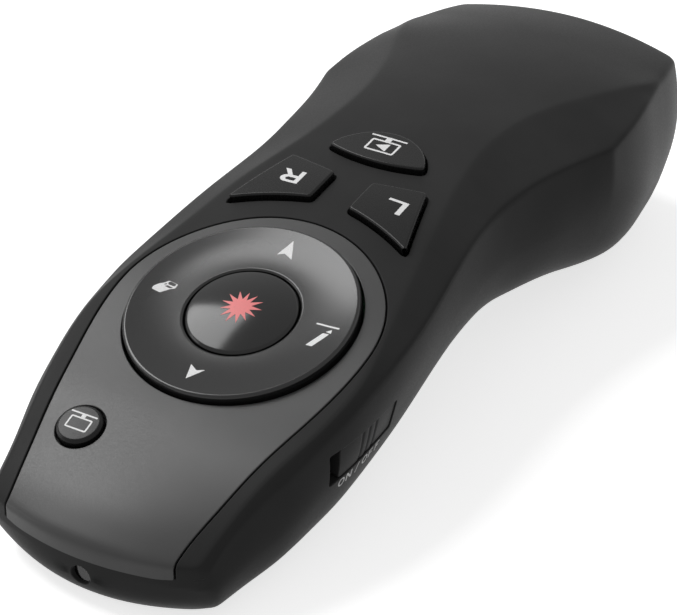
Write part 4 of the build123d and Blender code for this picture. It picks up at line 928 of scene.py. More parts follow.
    def level(self, height: Callable) -> Array:
        """Line round the right side where the surface passes a height that depends on y.

        Args:
            height: function that gives the height at y.

        Returns:
            (across, along) places from the crest's line on the nose to the crest's line on the tail.
        """
        right = self.points[:, self.points.shape[1] // 2 :]
        above = right[..., 2] - height(right[..., 1])
        turn = int(round((self.across[0] + 0.5 * self.across[1]) / self.spacing))
        middle = len(right) // 2
        columns = np.arange(turn)
        nose = self.crossing(above[:middle, :turn].T)
        tail = len(right) - 1 - self.crossing(above[:middle:-1, :turn].T)
        rows = np.arange(int(nose[-1]) + 1, int(tail[-1]))
        across = self.crossing(-above[rows, turn:])
        places = np.concatenate(
            (
                np.stack((columns, nose), -1),
                np.stack((turn + across, rows), -1),
                np.stack((columns, tail), -1)[::-1],
            )
        )
        return places * self.spacing

    def crossing(self, values: Array) -> Array:
        """Place in each row where its values first become positive."""
        after = np.maximum(np.argmax(values > 0, axis=1), 1)
        row = np.arange(len(values))
        low, high = values[row, after - 1], values[row, after]
        with np.errstate(divide="ignore", invalid="ignore"):
            return after - 1 + np.clip(low / (low - high), 0.0, 1.0)


# ---- Meshes ----


@dataclass
class Shape:
    """Points in millimetres with their normals, and faces as rows of point numbers."""

    points: Array
    normals: Array
    faces: Array

    def joined(self, *others: "Shape") -> "Shape":
        """This shape and others as one."""
        parts = [self, *others]
        starts = np.cumsum([0] + [len(part.points) for part in parts[:-1]])
        return Shape(
            np.concatenate([part.points for part in parts]),
            np.concatenate([part.normals for part in parts]),
            np.concatenate([part.faces + start for part, start in zip(parts, starts)]),
        )

    def merged(self) -> "Shape":
        """Coincident points with equal normals made one; faces without area left out."""
        places, ways = np.round(self.points / MERGE_STEP), np.round(self.normals * NORMAL_STEPS)
        key = np.concatenate((places, ways), axis=1)
        _, first, number = np.unique(key.astype(np.int64), axis=0, return_index=True, return_inverse=True)
        faces = number.reshape(-1)[self.faces]
        a, b, c = faces.T
        return Shape(self.points[first], self.normals[first], faces[(a != b) & (b != c) & (c != a)])

    def build(self, name: str, body: str, slot: str, material: Material, *nodes: str) -> bpy.types.Object:
        """Puts the shape into the scene, riding on its body.

        Args:
            name: name of the piece.
            body: body that it moves with.
            slot: the record's material slot, or an empty text for a printed mark; not used.
            material: its finish.
            nodes: the solids that it stands for.

        Returns:
            The new object.
        """
        shape = self.merged()
        mesh = bpy.data.meshes.new(name)
        mesh.vertices.add(len(shape.points))
        mesh.vertices.foreach_set("co", (shape.points * MM).ravel().astype(np.float32))
        count = len(shape.faces)
        mesh.loops.add(3 * count)
        mesh.loops.foreach_set("vertex_index", shape.faces.ravel().astype(np.int32))
        mesh.polygons.add(count)
        mesh.polygons.foreach_set("loop_start", np.arange(0, 3 * count, 3, dtype=np.int32))
        mesh.polygons.foreach_set("use_smooth", np.ones(count, dtype=bool))
        mesh.update(calc_edges=True)
        mesh.validate()
        if len(mesh.vertices) == len(shape.normals):
            mesh.normals_split_custom_set_from_vertices(shape.normals.astype(np.float32))
        mesh.materials.append(material)
        piece = link_object(name, mesh)
        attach(piece, body)
        if nodes:
            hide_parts(*nodes)
        LOG.info("%s: %d faces on %s", name, count, body)
        return piece


def link_object(name: str, data: bpy.types.ID) -> bpy.types.Object:
    """New object in the scene that shows a mesh, a lamp or a camera."""
    made = bpy.data.objects.new(name, data)
    bpy.context.scene.collection.objects.link(made)
    return made


def grid_faces(rows: int, columns: int, wrap: bool) -> Array:
    """Triangles of a grid of points, row by row; wrap joins the last column to the first."""
    i, j = np.meshgrid(np.arange(rows - 1), np.arange(columns if wrap else columns - 1), indexing="ij")
    a, b = i * columns + j, i * columns + (j + 1) % columns
    c, d = b + columns, a + columns
    return np.concatenate((np.stack((a, b, c), -1).reshape(-1, 3), np.stack((a, c, d), -1).reshape(-1, 3)))


def face_normals(points: Array, faces: Array) -> Array:
    """Normals at points, each the sum of those of the faces round it."""
    corner = points[faces]
    normal = np.cross(corner[:, 1] - corner[:, 0], corner[:, 2] - corner[:, 0])
    total = np.zeros_like(points)
    for k in range(3):
        np.add.at(total, faces[:, k], normal)
    return unit(total)


def close_loop(points: Array) -> Array:
    """Loop of points with its first point added at its end."""
    return np.concatenate((points, points[:1]))


def even_loop(points: Array, spacing: float, softness: float = 0.0) -> Array:
    """Closed loop read at even spacing, its corners softened by a bell-shaped average.

    Args:
        points: corner points, shaped (points, 2 or 3).
        spacing: distance between the new points.
        softness: the bell's half width in the points' unit.

    Returns:
        The new points, the first not repeated.
    """
    closed = close_loop(points)[None]
    along = lengths(closed)
    fine = max(spacing / 4, 0.02) if softness else spacing
    count = max(int(along[0, -1] / fine), 8)
    even = read_rows(closed, along, np.arange(count)[None] / count * along[:, -1:])
    if softness:
        radius = softness / (along[0, -1] / count)
        pad = bell_reach(radius)
        padded = np.concatenate((even[:, -pad:], even, even[:, :pad]), axis=1)
        closed = close_loop(soften(padded, radius)[0])[None]
        along = lengths(closed)
        count = max(int(along[0, -1] / spacing), 8)
        even = read_rows(closed, along, np.arange(count)[None] / count * along[:, -1:])
    return even[0]


def loop_area(loop: Array) -> float:
    """Signed area of a flat loop; positive if it runs against the clock."""
    after = np.roll(loop, -1, axis=0)
    return float((loop[:, 0] * after[:, 1] - after[:, 0] * loop[:, 1]).sum() / 2)


def box_lattice(low: Array, high: Array, step: float) -> Array:
    """Square lattice of flat points from the low corner of a box up to its high one."""
    axes = [np.arange(low[k], high[k], step) for k in range(2)]
    return np.stack(np.meshgrid(*axes), -1).reshape(-1, 2)


def in_order(loops: list[Array]) -> list[Array]:
    """Loops turned so that the first runs against the clock and the others, its holes, with it."""
    return [loop if (loop_area(loop) > 0) == (k == 0) else loop[::-1] for k, loop in enumerate(loops)]


def grown(loop: Array, amount: float) -> Array:
    """Flat loop moved outwards by an amount along its own normals."""
    along = np.roll(loop, -1, axis=0) - np.roll(loop, 1, axis=0)
    outwards = unit(np.stack((along[:, 1], -along[:, 0]), -1)) * np.sign(loop_area(loop))
    return loop + amount * outwards


def inside(points: Array, loops: list[Array]) -> Array:
    """Which flat points lie inside an odd number of loops, found by counting crossings to the right."""
    start = np.concatenate(loops)
    end = np.concatenate([np.roll(loop, -1, axis=0) for loop in loops])
    result = []
    for block in np.array_split(points, max(len(points) // BLOCK, 1)):
        x, y = block[:, :1], block[:, 1:]
        spans = (start[:, 1] > y) != (end[:, 1] > y)
        rise = np.where(end[:, 1] == start[:, 1], 1.0, end[:, 1] - start[:, 1])
        cross = start[:, 0] + (y - start[:, 1]) * (end[:, 0] - start[:, 0]) / rise
        result.append((spans & (x < cross)).sum(axis=1) % 2 == 1)
    return np.concatenate(result)


def fill(loops: list[Array], lattice: Array, near: float) -> tuple[Array, Array, list[Array]]:
    """Triangles between an outer loop and its holes, with lattice points inside.

    Args:
        loops: flat loops, the outer one against the clock and holes with it.
        lattice: flat points to use where they are clear of the loops.
        near: distance that is not clear.

    Returns:
        Flat points, triangles, and the point numbers of each loop.
    """
    edge = np.concatenate(loops)
    clear = []
    for block in np.array_split(lattice, max(len(lattice) // BLOCK, 1)):
        gap = ((block[:, None] - edge[None]) ** 2).sum(-1).min(axis=1)
        clear.append(block[gap > near**2])
    spare = np.concatenate(clear)
    spare = spare[inside(spare, loops)] if len(spare) else spare
    points = np.concatenate((edge, spare))
    numbers, links, start = [], [], 0
    for loop in loops:
        ring = np.arange(start, start + len(loop))
        numbers.append(ring)
        links.append(np.stack((ring, np.roll(ring, -1)), -1))
        start += len(loop)
    result = geometry.delaunay_2d_cdt(
        [Vector(point) for point in points.tolist()], np.concatenate(links).tolist(), [], 0, SAME_PLACE, True
    )
    made = np.array([tuple(vertex) for vertex in result[0]])
    triangles = np.array([face for face in result[2] if len(face) == 3])
    triangles = triangles[inside(made[triangles].mean(axis=1), loops)]
    new_number = {old: new for new, origins in enumerate(result[3]) for old in origins}
    rings = [np.array([new_number[k] for k in ring.tolist()]) for ring in numbers]
    corner = made[triangles]
    first, second = corner[:, 1] - corner[:, 0], corner[:, 2] - corner[:, 0]
    turned = first[:, 0] * second[:, 1] - first[:, 1] * second[:, 0] < 0
    triangles[turned] = triangles[turned][:, ::-1]
    return made, triangles, rings


# Places across the right half of the body that get points: arc, facet, side and floor, each with
# its points closer together beside the creases.
RIGHT_PLACES = np.concatenate(
    (
        np.arange(0, 12.9, 0.9),
        (13.1, 13.5, 13.8),
        14 + np.array((0.0, 0.2, 0.5, 1.1, 2.0, 3.0, 4.0, 4.9, 5.5, 5.8)),
        20 + np.concatenate(((0.0, 0.2, 0.5, 1.0), np.arange(1.8, 24, 1.2))),
        np.arange(44.4, 56.1, 1.4),
    )
)


@dataclass
class Skin:
    """Piece of the body's surface with rounded lips, walls and an inner face.

    Places are (across, along) on the body's grid; a piece seen from below counts across from the
    keel. The outer face is the surface moved out by the lift, the lip is a quarter circle, the
    wall runs straight inwards, and the inner face is the outer one moved in by the depth.
    """

    form: BodyForm
    loops: list
    lift: float = 0.0
    lip: float = 0.15
    depth: float = 1.8
    below: bool = False
    relief: Callable | None = None
    step: float = 0.0
    bends: tuple = (6.0, 99.1, 133.6)
    near_bend: float = 2.4
    spacings: Flat = (0.8, 0.4)

    def lattice(self) -> Array:
        """Grid of places, closer together near the body's creases and near the bends along it.

        The bends along the grid are the nose's edge, the hip and the tail's edge.
        """
        if self.step:
            low, high = self.loops[0].min(axis=0), self.loops[0].max(axis=0)
            return box_lattice(low, high, self.step)
        across = np.unique(np.concatenate((-RIGHT_PLACES, RIGHT_PLACES)))
        if self.below:
            across = np.unique(np.where(across > 0, across - self.form.half, across + self.form.half))
        wide, close = self.spacings
        steps = np.arange(0.0, self.form.length, wide)
        fine = [np.arange(bend - self.near_bend, bend + self.near_bend + 0.1, close) for bend in self.bends]
        away = np.abs(steps[:, None] - np.array(self.bends)).min(axis=1)
        along = np.concatenate((steps[away > self.near_bend + 0.2], *fine))
        return np.stack(np.meshgrid(across, along), -1).reshape(-1, 2)

    def place(self, flat: Array) -> Array:
        """Grid places of the piece's flat points."""
        if not self.below:
            return flat
        across = flat[:, 0]
        across = np.where(across <= 0, self.form.half + across, across - self.form.half)
        return np.stack((across, flat[:, 1]), -1)

    def shape(self) -> Shape:
        """Outer face, lips, walls and inner face."""
        flat, triangles, rings = fill(in_order(self.loops), self.lattice(), SKIN_CLEAR)
        points, normals = self.form.surface(self.place(flat))
        points = points + self.lift * normals
        if self.relief:
            points = points + self.relief(points)[:, None] * normals
            normals = face_normals(points, triangles)
        parts = [
            Shape(points, normals, triangles),
            Shape(points - self.depth * normals, -normals, triangles[:, ::-1]),
        ]
        for ring in rings:
            parts.append(self.edge(points[ring], normals[ring], flat[ring]))
        return parts[0].joined(*parts[1:])

    def edge(self, points: Array, normals: Array, flat: Array) -> Shape:
        """Lip, wall and return along one loop.

        Args:
            points: the loop's points.
            normals: the surface's normals there.
            flat: the loop's flat points, to tell where it is only a cut.

        Returns:
            The strip from the outer face to the inner one.
        """
        cut = (np.abs(flat[:, 0]) > self.form.half - 1e-4) | (flat[:, 1] > self.form.length - 1e-4)
        open_side = cut & np.roll(cut, -1)
        after = np.where(open_side[:, None], points, np.roll(points, -1, axis=0))
        before = np.where(np.roll(open_side, 1)[:, None], points, np.roll(points, 1, axis=0))
        out = unit(np.cross(unit(after - before), normals))
        steps = np.linspace(0, math.pi / 2, 5)
        rows = [
            (
                points + self.lip * (out * math.sin(turn) - normals * (1 - math.cos(turn))),
                normals * math.cos(turn) + out * math.sin(turn),
            )
            for turn in steps
        ]
        foot = points + self.lip * out - self.depth * normals
        rows += [(foot, out), (foot, -normals), (points - self.depth * normals, -normals)]
        faces = grid_faces(len(rows), len(points), True)
        keep = ~np.tile(open_side, 2 * (len(rows) - 1))
        return Shape(
            np.concatenate([row[0] for row in rows]),
            np.concatenate([row[1] for row in rows]),
            faces[keep][:, ::-1],
        )


@dataclass(frozen=True)
class Seat:
    """Plane that a turned or flat piece stands on."""

    origin: Point
    tilt: float

    def axes(self) -> Array:
        """Its x, y and normal; the tilt in degrees lowers the side towards the nose."""
        lean = math.radians(self.tilt)
        sine, cosine = math.sin(lean), math.cos(lean)
        return np.array([[1, 0, 0], [0, cosine, sine], [0, -sine, cosine]])

    def at(self, flat: Array, height: Array | float = 0.0) -> Array:
        """Points in space from flat points and a height above the plane."""
        x, y, normal = self.axes()
        up = np.broadcast_to(np.asarray(height, float), flat.shape[:-1])
        return np.array(self.origin) + flat[..., :1] * x + flat[..., 1:2] * y + up[..., None] * normal


def turned(seat: Seat, profile: Array, softness: float, count: int, rows: int) -> Shape:
    """Profile of (radius, height) points carried round the normal of a seat.

    The profile's corners are softened by a bell-shaped average, and its points are spread so that
    they lie closer where it bends.

    Args:
        seat: plane and middle.
        profile: points, from the first to the last; the outside lies to the right.
        softness: the bell's half width in millimetres.
        count: points round the circle.
        rows: points along the profile.

    Returns:
        The turned shape.
    """
    line = np.asarray(profile, float)[None]
    along = lengths(line)
    even = np.arange(0, along[0, -1] + PROFILE_STEP / 2, PROFILE_STEP)[None]
    fine = soften_open(read_rows(line, along, np.minimum(even, along[:, -1:])), softness / PROFILE_STEP)
    slope = unit(np.gradient(fine, axis=1))
    bend = np.linalg.norm(np.diff(slope, axis=1), axis=2)
    total = np.cumsum(bend + STRAIGHT_WEIGHT * PROFILE_STEP, axis=1)
    measure = np.concatenate((np.zeros((1, 1)), total), axis=1)
    wanted = np.linspace(0, measure[0, -1], rows)[None]
    line, slope = read_rows(fine, measure, wanted)[0], unit(read_rows(slope, measure, wanted)[0])
    angle = np.linspace(0, 2 * math.pi, count, endpoint=False)
    round_x, round_y = np.cos(angle), np.sin(angle)
    spot = np.maximum(line[:, :1], 0.0)
    points = seat.at(np.stack((spot * round_x, spot * round_y), -1), line[:, 1:] + 0 * angle)
    outward = np.stack((slope[:, 1], -slope[:, 0]), -1)
    x, y, normal = seat.axes()
    normals = (
        (outward[:, :1] * round_x)[..., None] * x
        + (outward[:, :1] * round_y)[..., None] * y
        + (outward[:, 1:] + 0 * angle)[..., None] * normal
    )
    return Shape(points.reshape(-1, 3), normals.reshape(-1, 3), grid_faces(rows, count, True))


def decal(loops: list[Array], surface: Callable, rise: float = 0.02, depth: float = 0.04) -> Shape:
    """Thin printed patch on a surface.

    Args:
        loops: flat loops, the outer one first, then its holes.
        surface: gives points and normals from flat points.
        rise: height of the ink above the surface.
        depth: how far the patch reaches below it.

    Returns:
        The closed patch.
    """
    ordered = in_order(loops)
    low, high = ordered[0].min(axis=0), ordered[0].max(axis=0)
    flat, triangles, rings = fill(ordered, box_lattice(low, high, INK_SPACING), INK_CLEAR)
    points, normals = surface(flat)
    parts = [
        Shape(points + rise * normals, normals, triangles),
        Shape(points - depth * normals, -normals, triangles[:, ::-1]),
    ]
    for ring in rings:
        base, up = points[ring], normals[ring]
        out = unit(np.cross(np.roll(base, -1, axis=0) - np.roll(base, 1, axis=0), up))
        wall = np.concatenate((base + rise * up, base - depth * up))
        parts.append(Shape(wall, np.concatenate((out, out)), grid_faces(2, len(ring), True)[:, ::-1]))
    return parts[0].joined(*parts[1:])


# ---- Pieces of the handset ----


def arc_through(first: Flat, middle: Flat, last: Flat, count: int = 60) -> Array:
    """Points of the circle's arc through three points, from the first to the last."""
    a, b, c = (complex(*point) for point in (first, middle, last))
    w = (c - a) / (b - a)
    centre = (b - a) * (w - abs(w) ** 2) / (2j * w.imag) + a
    angles = np.unwrap([np.angle(point - centre) for point in (a, b, c)])
    around = np.interp(np.linspace(0, 2, count), (0, 1, 2), angles)
    made = centre + abs(a - centre) * np.exp(1j * around)
    return np.stack((made.real, made.imag), -1)


def circle(radius: float, count: int, middle: Flat = (0.0, 0.0)) -> Array:
    """Points round a circle, against the clock."""
    angle = np.linspace(0, 2 * math.pi, count, endpoint=False)
    return np.stack((radius * np.cos(angle), radius * np.sin(angle)), -1) + np.array(middle)


@dataclass
class Groove:
    """Outline of the key panel: an arc round the ring and two lines that run over the nose."""

    form: BodyForm
    seam: Array
    side_line: tuple = (
        (-70.0, 12.2), (-61.2, 12.2), (-57.3, 12.9), (-41.6, 16.3), (-34.9, 17.65),
        (-28.2, 18.2), (-24.2, 17.75), (-20.2, 16.35),
    )
    head_radius: float = 18.2
    ring_y: float = -28.2
    tilt: float = 15.24
    nose_from: float = -61.0
    spacing: float = 0.4
    widest: float = 21.0
    nose_rows: Flat = (2.0, 6.0)
    head_points: int = 288

    def line(self, gap: float) -> Array:
        """Places along the outline moved inwards by a gap, from the seam on the right to the left.

        Args:
            gap: distance inwards in millimetres; negative moves outwards.

        Returns:
            (across, along) places.
        """
        y = np.arange(self.nose_from, self.ring_y, self.spacing)
        side = np.stack((spline(self.side_line, y) - gap, y), -1)
        radius = self.head_radius - gap
        head = circle(radius, self.head_points)[: self.head_points // 2 + 1]
        head[:, 1] = self.ring_y + head[:, 1] * math.cos(math.radians(self.tilt))
        plan = np.concatenate((side, head[head[:, 0] >= 0]))
        top = self.form.hit(np.column_stack((plan, np.zeros(len(plan)))), (0.0, 0.0, 1.0))
        right = np.concatenate((self.over_nose(self.side_line[0][1] - gap), top))
        return np.concatenate((right, right[::-1][1:] * (-1, 1)))

    def over_nose(self, half: float) -> Array:
        """Places on the nose where x is a given half width, from the seam up to the panel's top."""
        right = self.form.points[: self.form.points.shape[0] // 2, self.form.points.shape[1] // 2 :]
        columns = np.arange(int(self.widest / self.form.spacing), 20, -1)
        rows = self.form.crossing((right[:, columns, 0] - half).T)
        place = np.stack((columns, rows), -1) * self.form.spacing
        on_nose = self.form.surface(place)[0][:, 1] < self.nose_from - 0.3
        place = place[on_nose & (place[:, 1] > self.nose_rows[0])]
        nose = self.seam[self.seam[:, 1] < self.nose_rows[1]]
        across, along = nose[: int(np.argmax(nose[:, 0])) + 1].T
        limit = np.interp(place[:, 0], across, along)
        above = place[:, 1] - limit
        k = int(np.argmax(above > 0))
        if k == 0:
            return place
        share = above[k] / (above[k] - above[k - 1])
        foot = place[k] + share * (place[k - 1] - place[k])
        return np.concatenate((foot[None], place[k:]))


@dataclass
class Shells:
    """Upper and lower shell, key panel and battery door."""

    form: BodyForm
    wall: float = 1.8
    lip: float = 0.14
    panel_depth: float = 1.3
    half_groove: float = 0.25
    ledge_reach: float = 1.3
    gap: float = 0.3
    ring_opening: float = 15.3
    laser_height: float = 4.2
    laser_hole: float = 1.5
    screws: tuple = ((13.6, -45.2), (-13.6, -45.2), (13.0, 2.8), (-13.0, 2.8))
    screw_hole: float = 2.0
    tail_rows: int = 70
    slot_y: tuple = (-40.2, -24.9)
    slot_z: tuple = (9.7, 14.4)
    door_half: float = 12.6
    door_front: float = 11.0
    door_top: float = 9.4
    nose_seam: tuple = ((-66.0, 6.6), (-62.4, 6.7), (-60.6, 7.6))
    seam_drop: float = 0.25
    seam_rise: float = 1.5
    seam_clear: float = 0.05
    ledge_depth: float = 1.0
    ledge_ends: int = 12
    longest_step: float = 0.5

    def __post_init__(self) -> None:
        """Works out the seam and the groove."""
        self.seam = self.form.level(self.seam_height)
        self.groove = Groove(self.form, self.seam)

    def seam_height(self, y: Array) -> Array:
        """Height of the seam: level on the nose, then just under the crease."""
        crease = self.form.edge_height(y) - self.seam_drop
        places, heights = np.array(self.nose_seam).T
        nose = np.interp(y, places, heights)
        share = np.clip((y - places[-1]) / self.seam_rise, 0, 1)
        return nose * (1 - share) + crease * share

    def upper(self, openings: list[Array]) -> Shape:
        """Upper shell with its key openings and the ledge that the panel lies on.

        Args:
            openings: places of the keys' openings.

        Returns:
            The shell.
        """
        groove = self.groove.line(-self.half_groove)
        across, along = self.seam.T
        right = self.seam[(across > groove[0, 0] + self.seam_clear) | (along > groove[0, 1] + 1.0)]
        seam = np.concatenate((right, right[::-1][1:] * (-1, 1)))
        outer = np.concatenate((seam, groove[::-1]))
        shell = Skin(self.form, [outer, *openings], lip=self.lip, depth=self.wall).shape()
        within = slice(self.ledge_ends, -self.ledge_ends)
        outside, inwards = (self.groove.line(side * self.ledge_reach)[within] for side in (-1, 1))
        band = np.concatenate((outside, inwards[::-1]))
        ledge = Skin(self.form, [band], -self.panel_depth, lip=0.05, depth=self.ledge_depth).shape()
        return shell.joined(ledge)

    def panel(self, openings: list[Array]) -> Shape:
        """Key panel with the openings of the ring and the round key."""
        groove = self.groove.line(self.half_groove)
        across, along = self.seam.T
        front = self.seam[(across < groove[0, 0] - self.seam_clear) & (along < groove[0, 1])]
        front = np.concatenate((front[::-1] * (-1, 1), front[1:]))
        outer = np.concatenate((groove, front))
        return Skin(self.form, [outer, *openings], lip=self.lip, depth=self.panel_depth).shape()

    def lower(self) -> Shape:
        """Lower shell: laser hole in the nose, slot in the side, door opening, screw holes."""
        half, length = self.form.half, self.form.length
        seam = self.seam * (1, 1) - (half, 0)
        hole = self.laser_line()
        hole = np.concatenate((hole, hole[::-1][1:] * (-1, 1)))
        left = seam * (-1, 1)
        outer = np.concatenate((hole, left, [(half, length)], [(-half, length)], seam[::-1]))
        outer = self.dense(outer)
        holes = [self.seen_below(self.slot()), self.door_line(self.gap)]
        holes += [self.seen_below(self.screw_line(x, y)) for x, y in self.screws]
        return Skin(self.form, [outer, *holes], lip=self.lip, depth=self.wall, below=True).shape()

    def dense(self, loop: Array) -> Array:
        """Loop with points added so that no step is longer than the longest one."""
        closed = close_loop(loop)
        step = np.linalg.norm(np.diff(closed, axis=0), axis=1)
        parts = np.maximum(np.ceil(step / self.longest_step), 1).astype(int)
        start = np.repeat(np.arange(len(loop)), parts)
        share = np.concatenate([np.arange(count) / count for count in parts])[:, None]
        return closed[start] * (1 - share) + closed[start + 1] * share

    def laser_line(self) -> Array:
        """Places round the laser's hole, from above it over its right side to below, seen from below."""
        right = self.form.points[:40, self.form.points.shape[1] // 2 :]
        away = np.hypot(right[..., 0], right[..., 2] - self.laser_height)
        columns = np.arange(0, right.shape[1], 2)
        rows = self.form.crossing((away[:, columns] - self.laser_hole).T)
        return np.stack((columns * self.form.spacing - self.form.half, rows * self.form.spacing), -1)

    def slot(self) -> Array:
        """Places round the slider's slot."""
        return self.form.hit(side_loop(self.slot_y, self.slot_z, 0.3), TO_THE_RIGHT)

    def screw_line(self, x: float, y: float) -> Array:
        """Places round a screw's hole on the underside."""
        flat = circle(self.screw_hole, 72, (x, y))
        return self.form.hit(np.column_stack((flat, np.zeros(len(flat)))), (0.0, 0.0, -1.0))

    def seen_below(self, place: Array) -> Array:
        """Places as they lie when seen from below, counted from the keel."""
        return np.stack((place[:, 0] - np.sign(place[:, 0]) * self.form.half, place[:, 1]), -1)

    def door_line(self, grow: float) -> Array:
        """Outline of the battery door, grown by an amount, seen from below.

        Its front is square to the body, its sides run straight back over the tail's edge, and its
        upper edge is level on the tail face.
        """
        form = self.form
        right = form.points[:, form.points.shape[1] // 2 :][:, ::-1]
        third, last = len(right) // 3, len(right) - 1
        tail = right[::-1][:third]
        clear = 0.4  # in rows or columns, so that no two points of the line nearly meet
        limit = self.door_half + grow
        front_rows = form.crossing((right[..., 1] - (self.door_front - grow)).T)
        side_columns = form.crossing(right[..., 0] - limit)
        top_rows = last - form.crossing((self.door_top + grow - tail[..., 2]).T)
        over_rows = last - form.crossing((tail[..., 0] - limit).T)
        rows, columns = np.arange(len(side_columns)), np.arange(len(top_rows))
        front_limit = np.interp(side_columns, columns, front_rows)
        keep = (rows > front_limit + clear) & (rows > third) & (rows < last - self.tail_rows)
        side = np.stack((side_columns, rows), -1)[keep]
        front = np.stack((columns, front_rows), -1)[columns < side[0, 0] - clear]
        beyond = columns > side[-1, 0] + clear
        corner = np.argmax(beyond & (over_rows > top_rows - clear))
        over = np.stack((columns, over_rows), -1)[beyond & (columns < corner)]
        top = np.stack((columns, top_rows), -1)[columns < corner - 1]
        left = np.concatenate((front, side, over, top[::-1])) * form.spacing
        return np.concatenate((left, left[::-1][:-1] * (-1, 1)))[:-1]

    def door(self) -> Shape:
        """Battery door."""
        return Skin(self.form, [self.door_line(0.0)], lip=self.lip, depth=self.wall, below=True).shape()


def side_loop(y_range: Flat, z_range: Flat, softness: float) -> Array:
    """Rectangle with softened corners on the middle plane, for a hit on the body's side."""
    (front, back), (low, high) = y_range, z_range
    corners = np.array([(front, low), (back, low), (back, high), (front, high)])
    loop = even_loop(corners, LOOP_SPACING, softness)
    return np.column_stack((np.zeros(len(loop)), loop))


@dataclass
class Keys:
    """Left, right and play keys: pieces of the body's surface that stand above it."""

    form: BodyForm
    seat: Seat = Seat((0.0, -5.2, 27.65), 7.4)
    play_seat: Seat = Seat((0.0, 4.7, 28.8), 4.6)
    inner: Flat = (2.8, -1.9)
    back: Flat = (2.8, 4.2)
    outer: Flat = (10.1, 5.6)
    tip: Flat = (13.4, -5.8)
    hollow: Flat = (8.8, -3.7)
    play_half: float = 7.1
    play_bulge: float = 1.3
    play_depth: float = 5.6
    corner: float = 0.32
    proud: float = 0.9
    lip: float = 0.35
    depth: float = 2.0
    gap: float = 0.3
    shell_lip: float = Shells.lip

    def outline(self, side: int, grow: float) -> Array:
        """Places round the left (side 1) or right (side -1) key, grown by an amount."""
        stretch = (1.0, 1 / math.cos(math.radians(self.seat.tilt)))
        hollow = arc_through(*(np.array(p) * stretch for p in (self.tip, self.hollow, self.inner)))
        corners = np.concatenate((hollow, np.array((self.back, self.outer)) * stretch))
        loop = grown(even_loop(corners, LOOP_SPACING, self.corner), grow - self.lip)
        return self.form.hit(self.seat.at(loop * (side, 1)), self.seat.axes()[2])

    def play_outline(self, grow: float) -> Array:
        """Places round the half-moon key, grown by an amount."""
        half = self.play_half
        loop = np.concatenate(
            (
                arc_through((-half, 0.0), (0.0, -self.play_bulge), (half, 0.0))[:-1],
                arc_through((half, 0.0), (0.0, self.play_depth), (-half, 0.0))[:-1],
            )
        )
        loop = grown(even_loop(loop, LOOP_SPACING, self.corner), grow - self.lip)
        return self.form.hit(self.play_seat.at(loop), self.play_seat.axes()[2])

    def key(self, outline: Array) -> Shape:
        """Key over an outline."""
        return Skin(self.form, [outline], lift=self.proud, lip=self.lip, depth=self.depth).shape()

    def openings(self) -> list[Array]:
        """Places round the three openings of the upper shell, drawn where the shell's lip begins."""
        grow = self.gap + self.lip + self.shell_lip
        return [self.outline(1, grow), self.outline(-1, grow), self.play_outline(grow)]

    def top(self, seat: Seat) -> Callable:
        """Function that gives the keys' upper face over flat points of a seat."""

        def read(flat: Array) -> tuple[Array, Array]:
            """Points and normals of the upper face."""
            points, normals = self.form.surface(self.form.hit(seat.at(flat), seat.axes()[2]))
            return points + self.proud * normals, normals

        return read


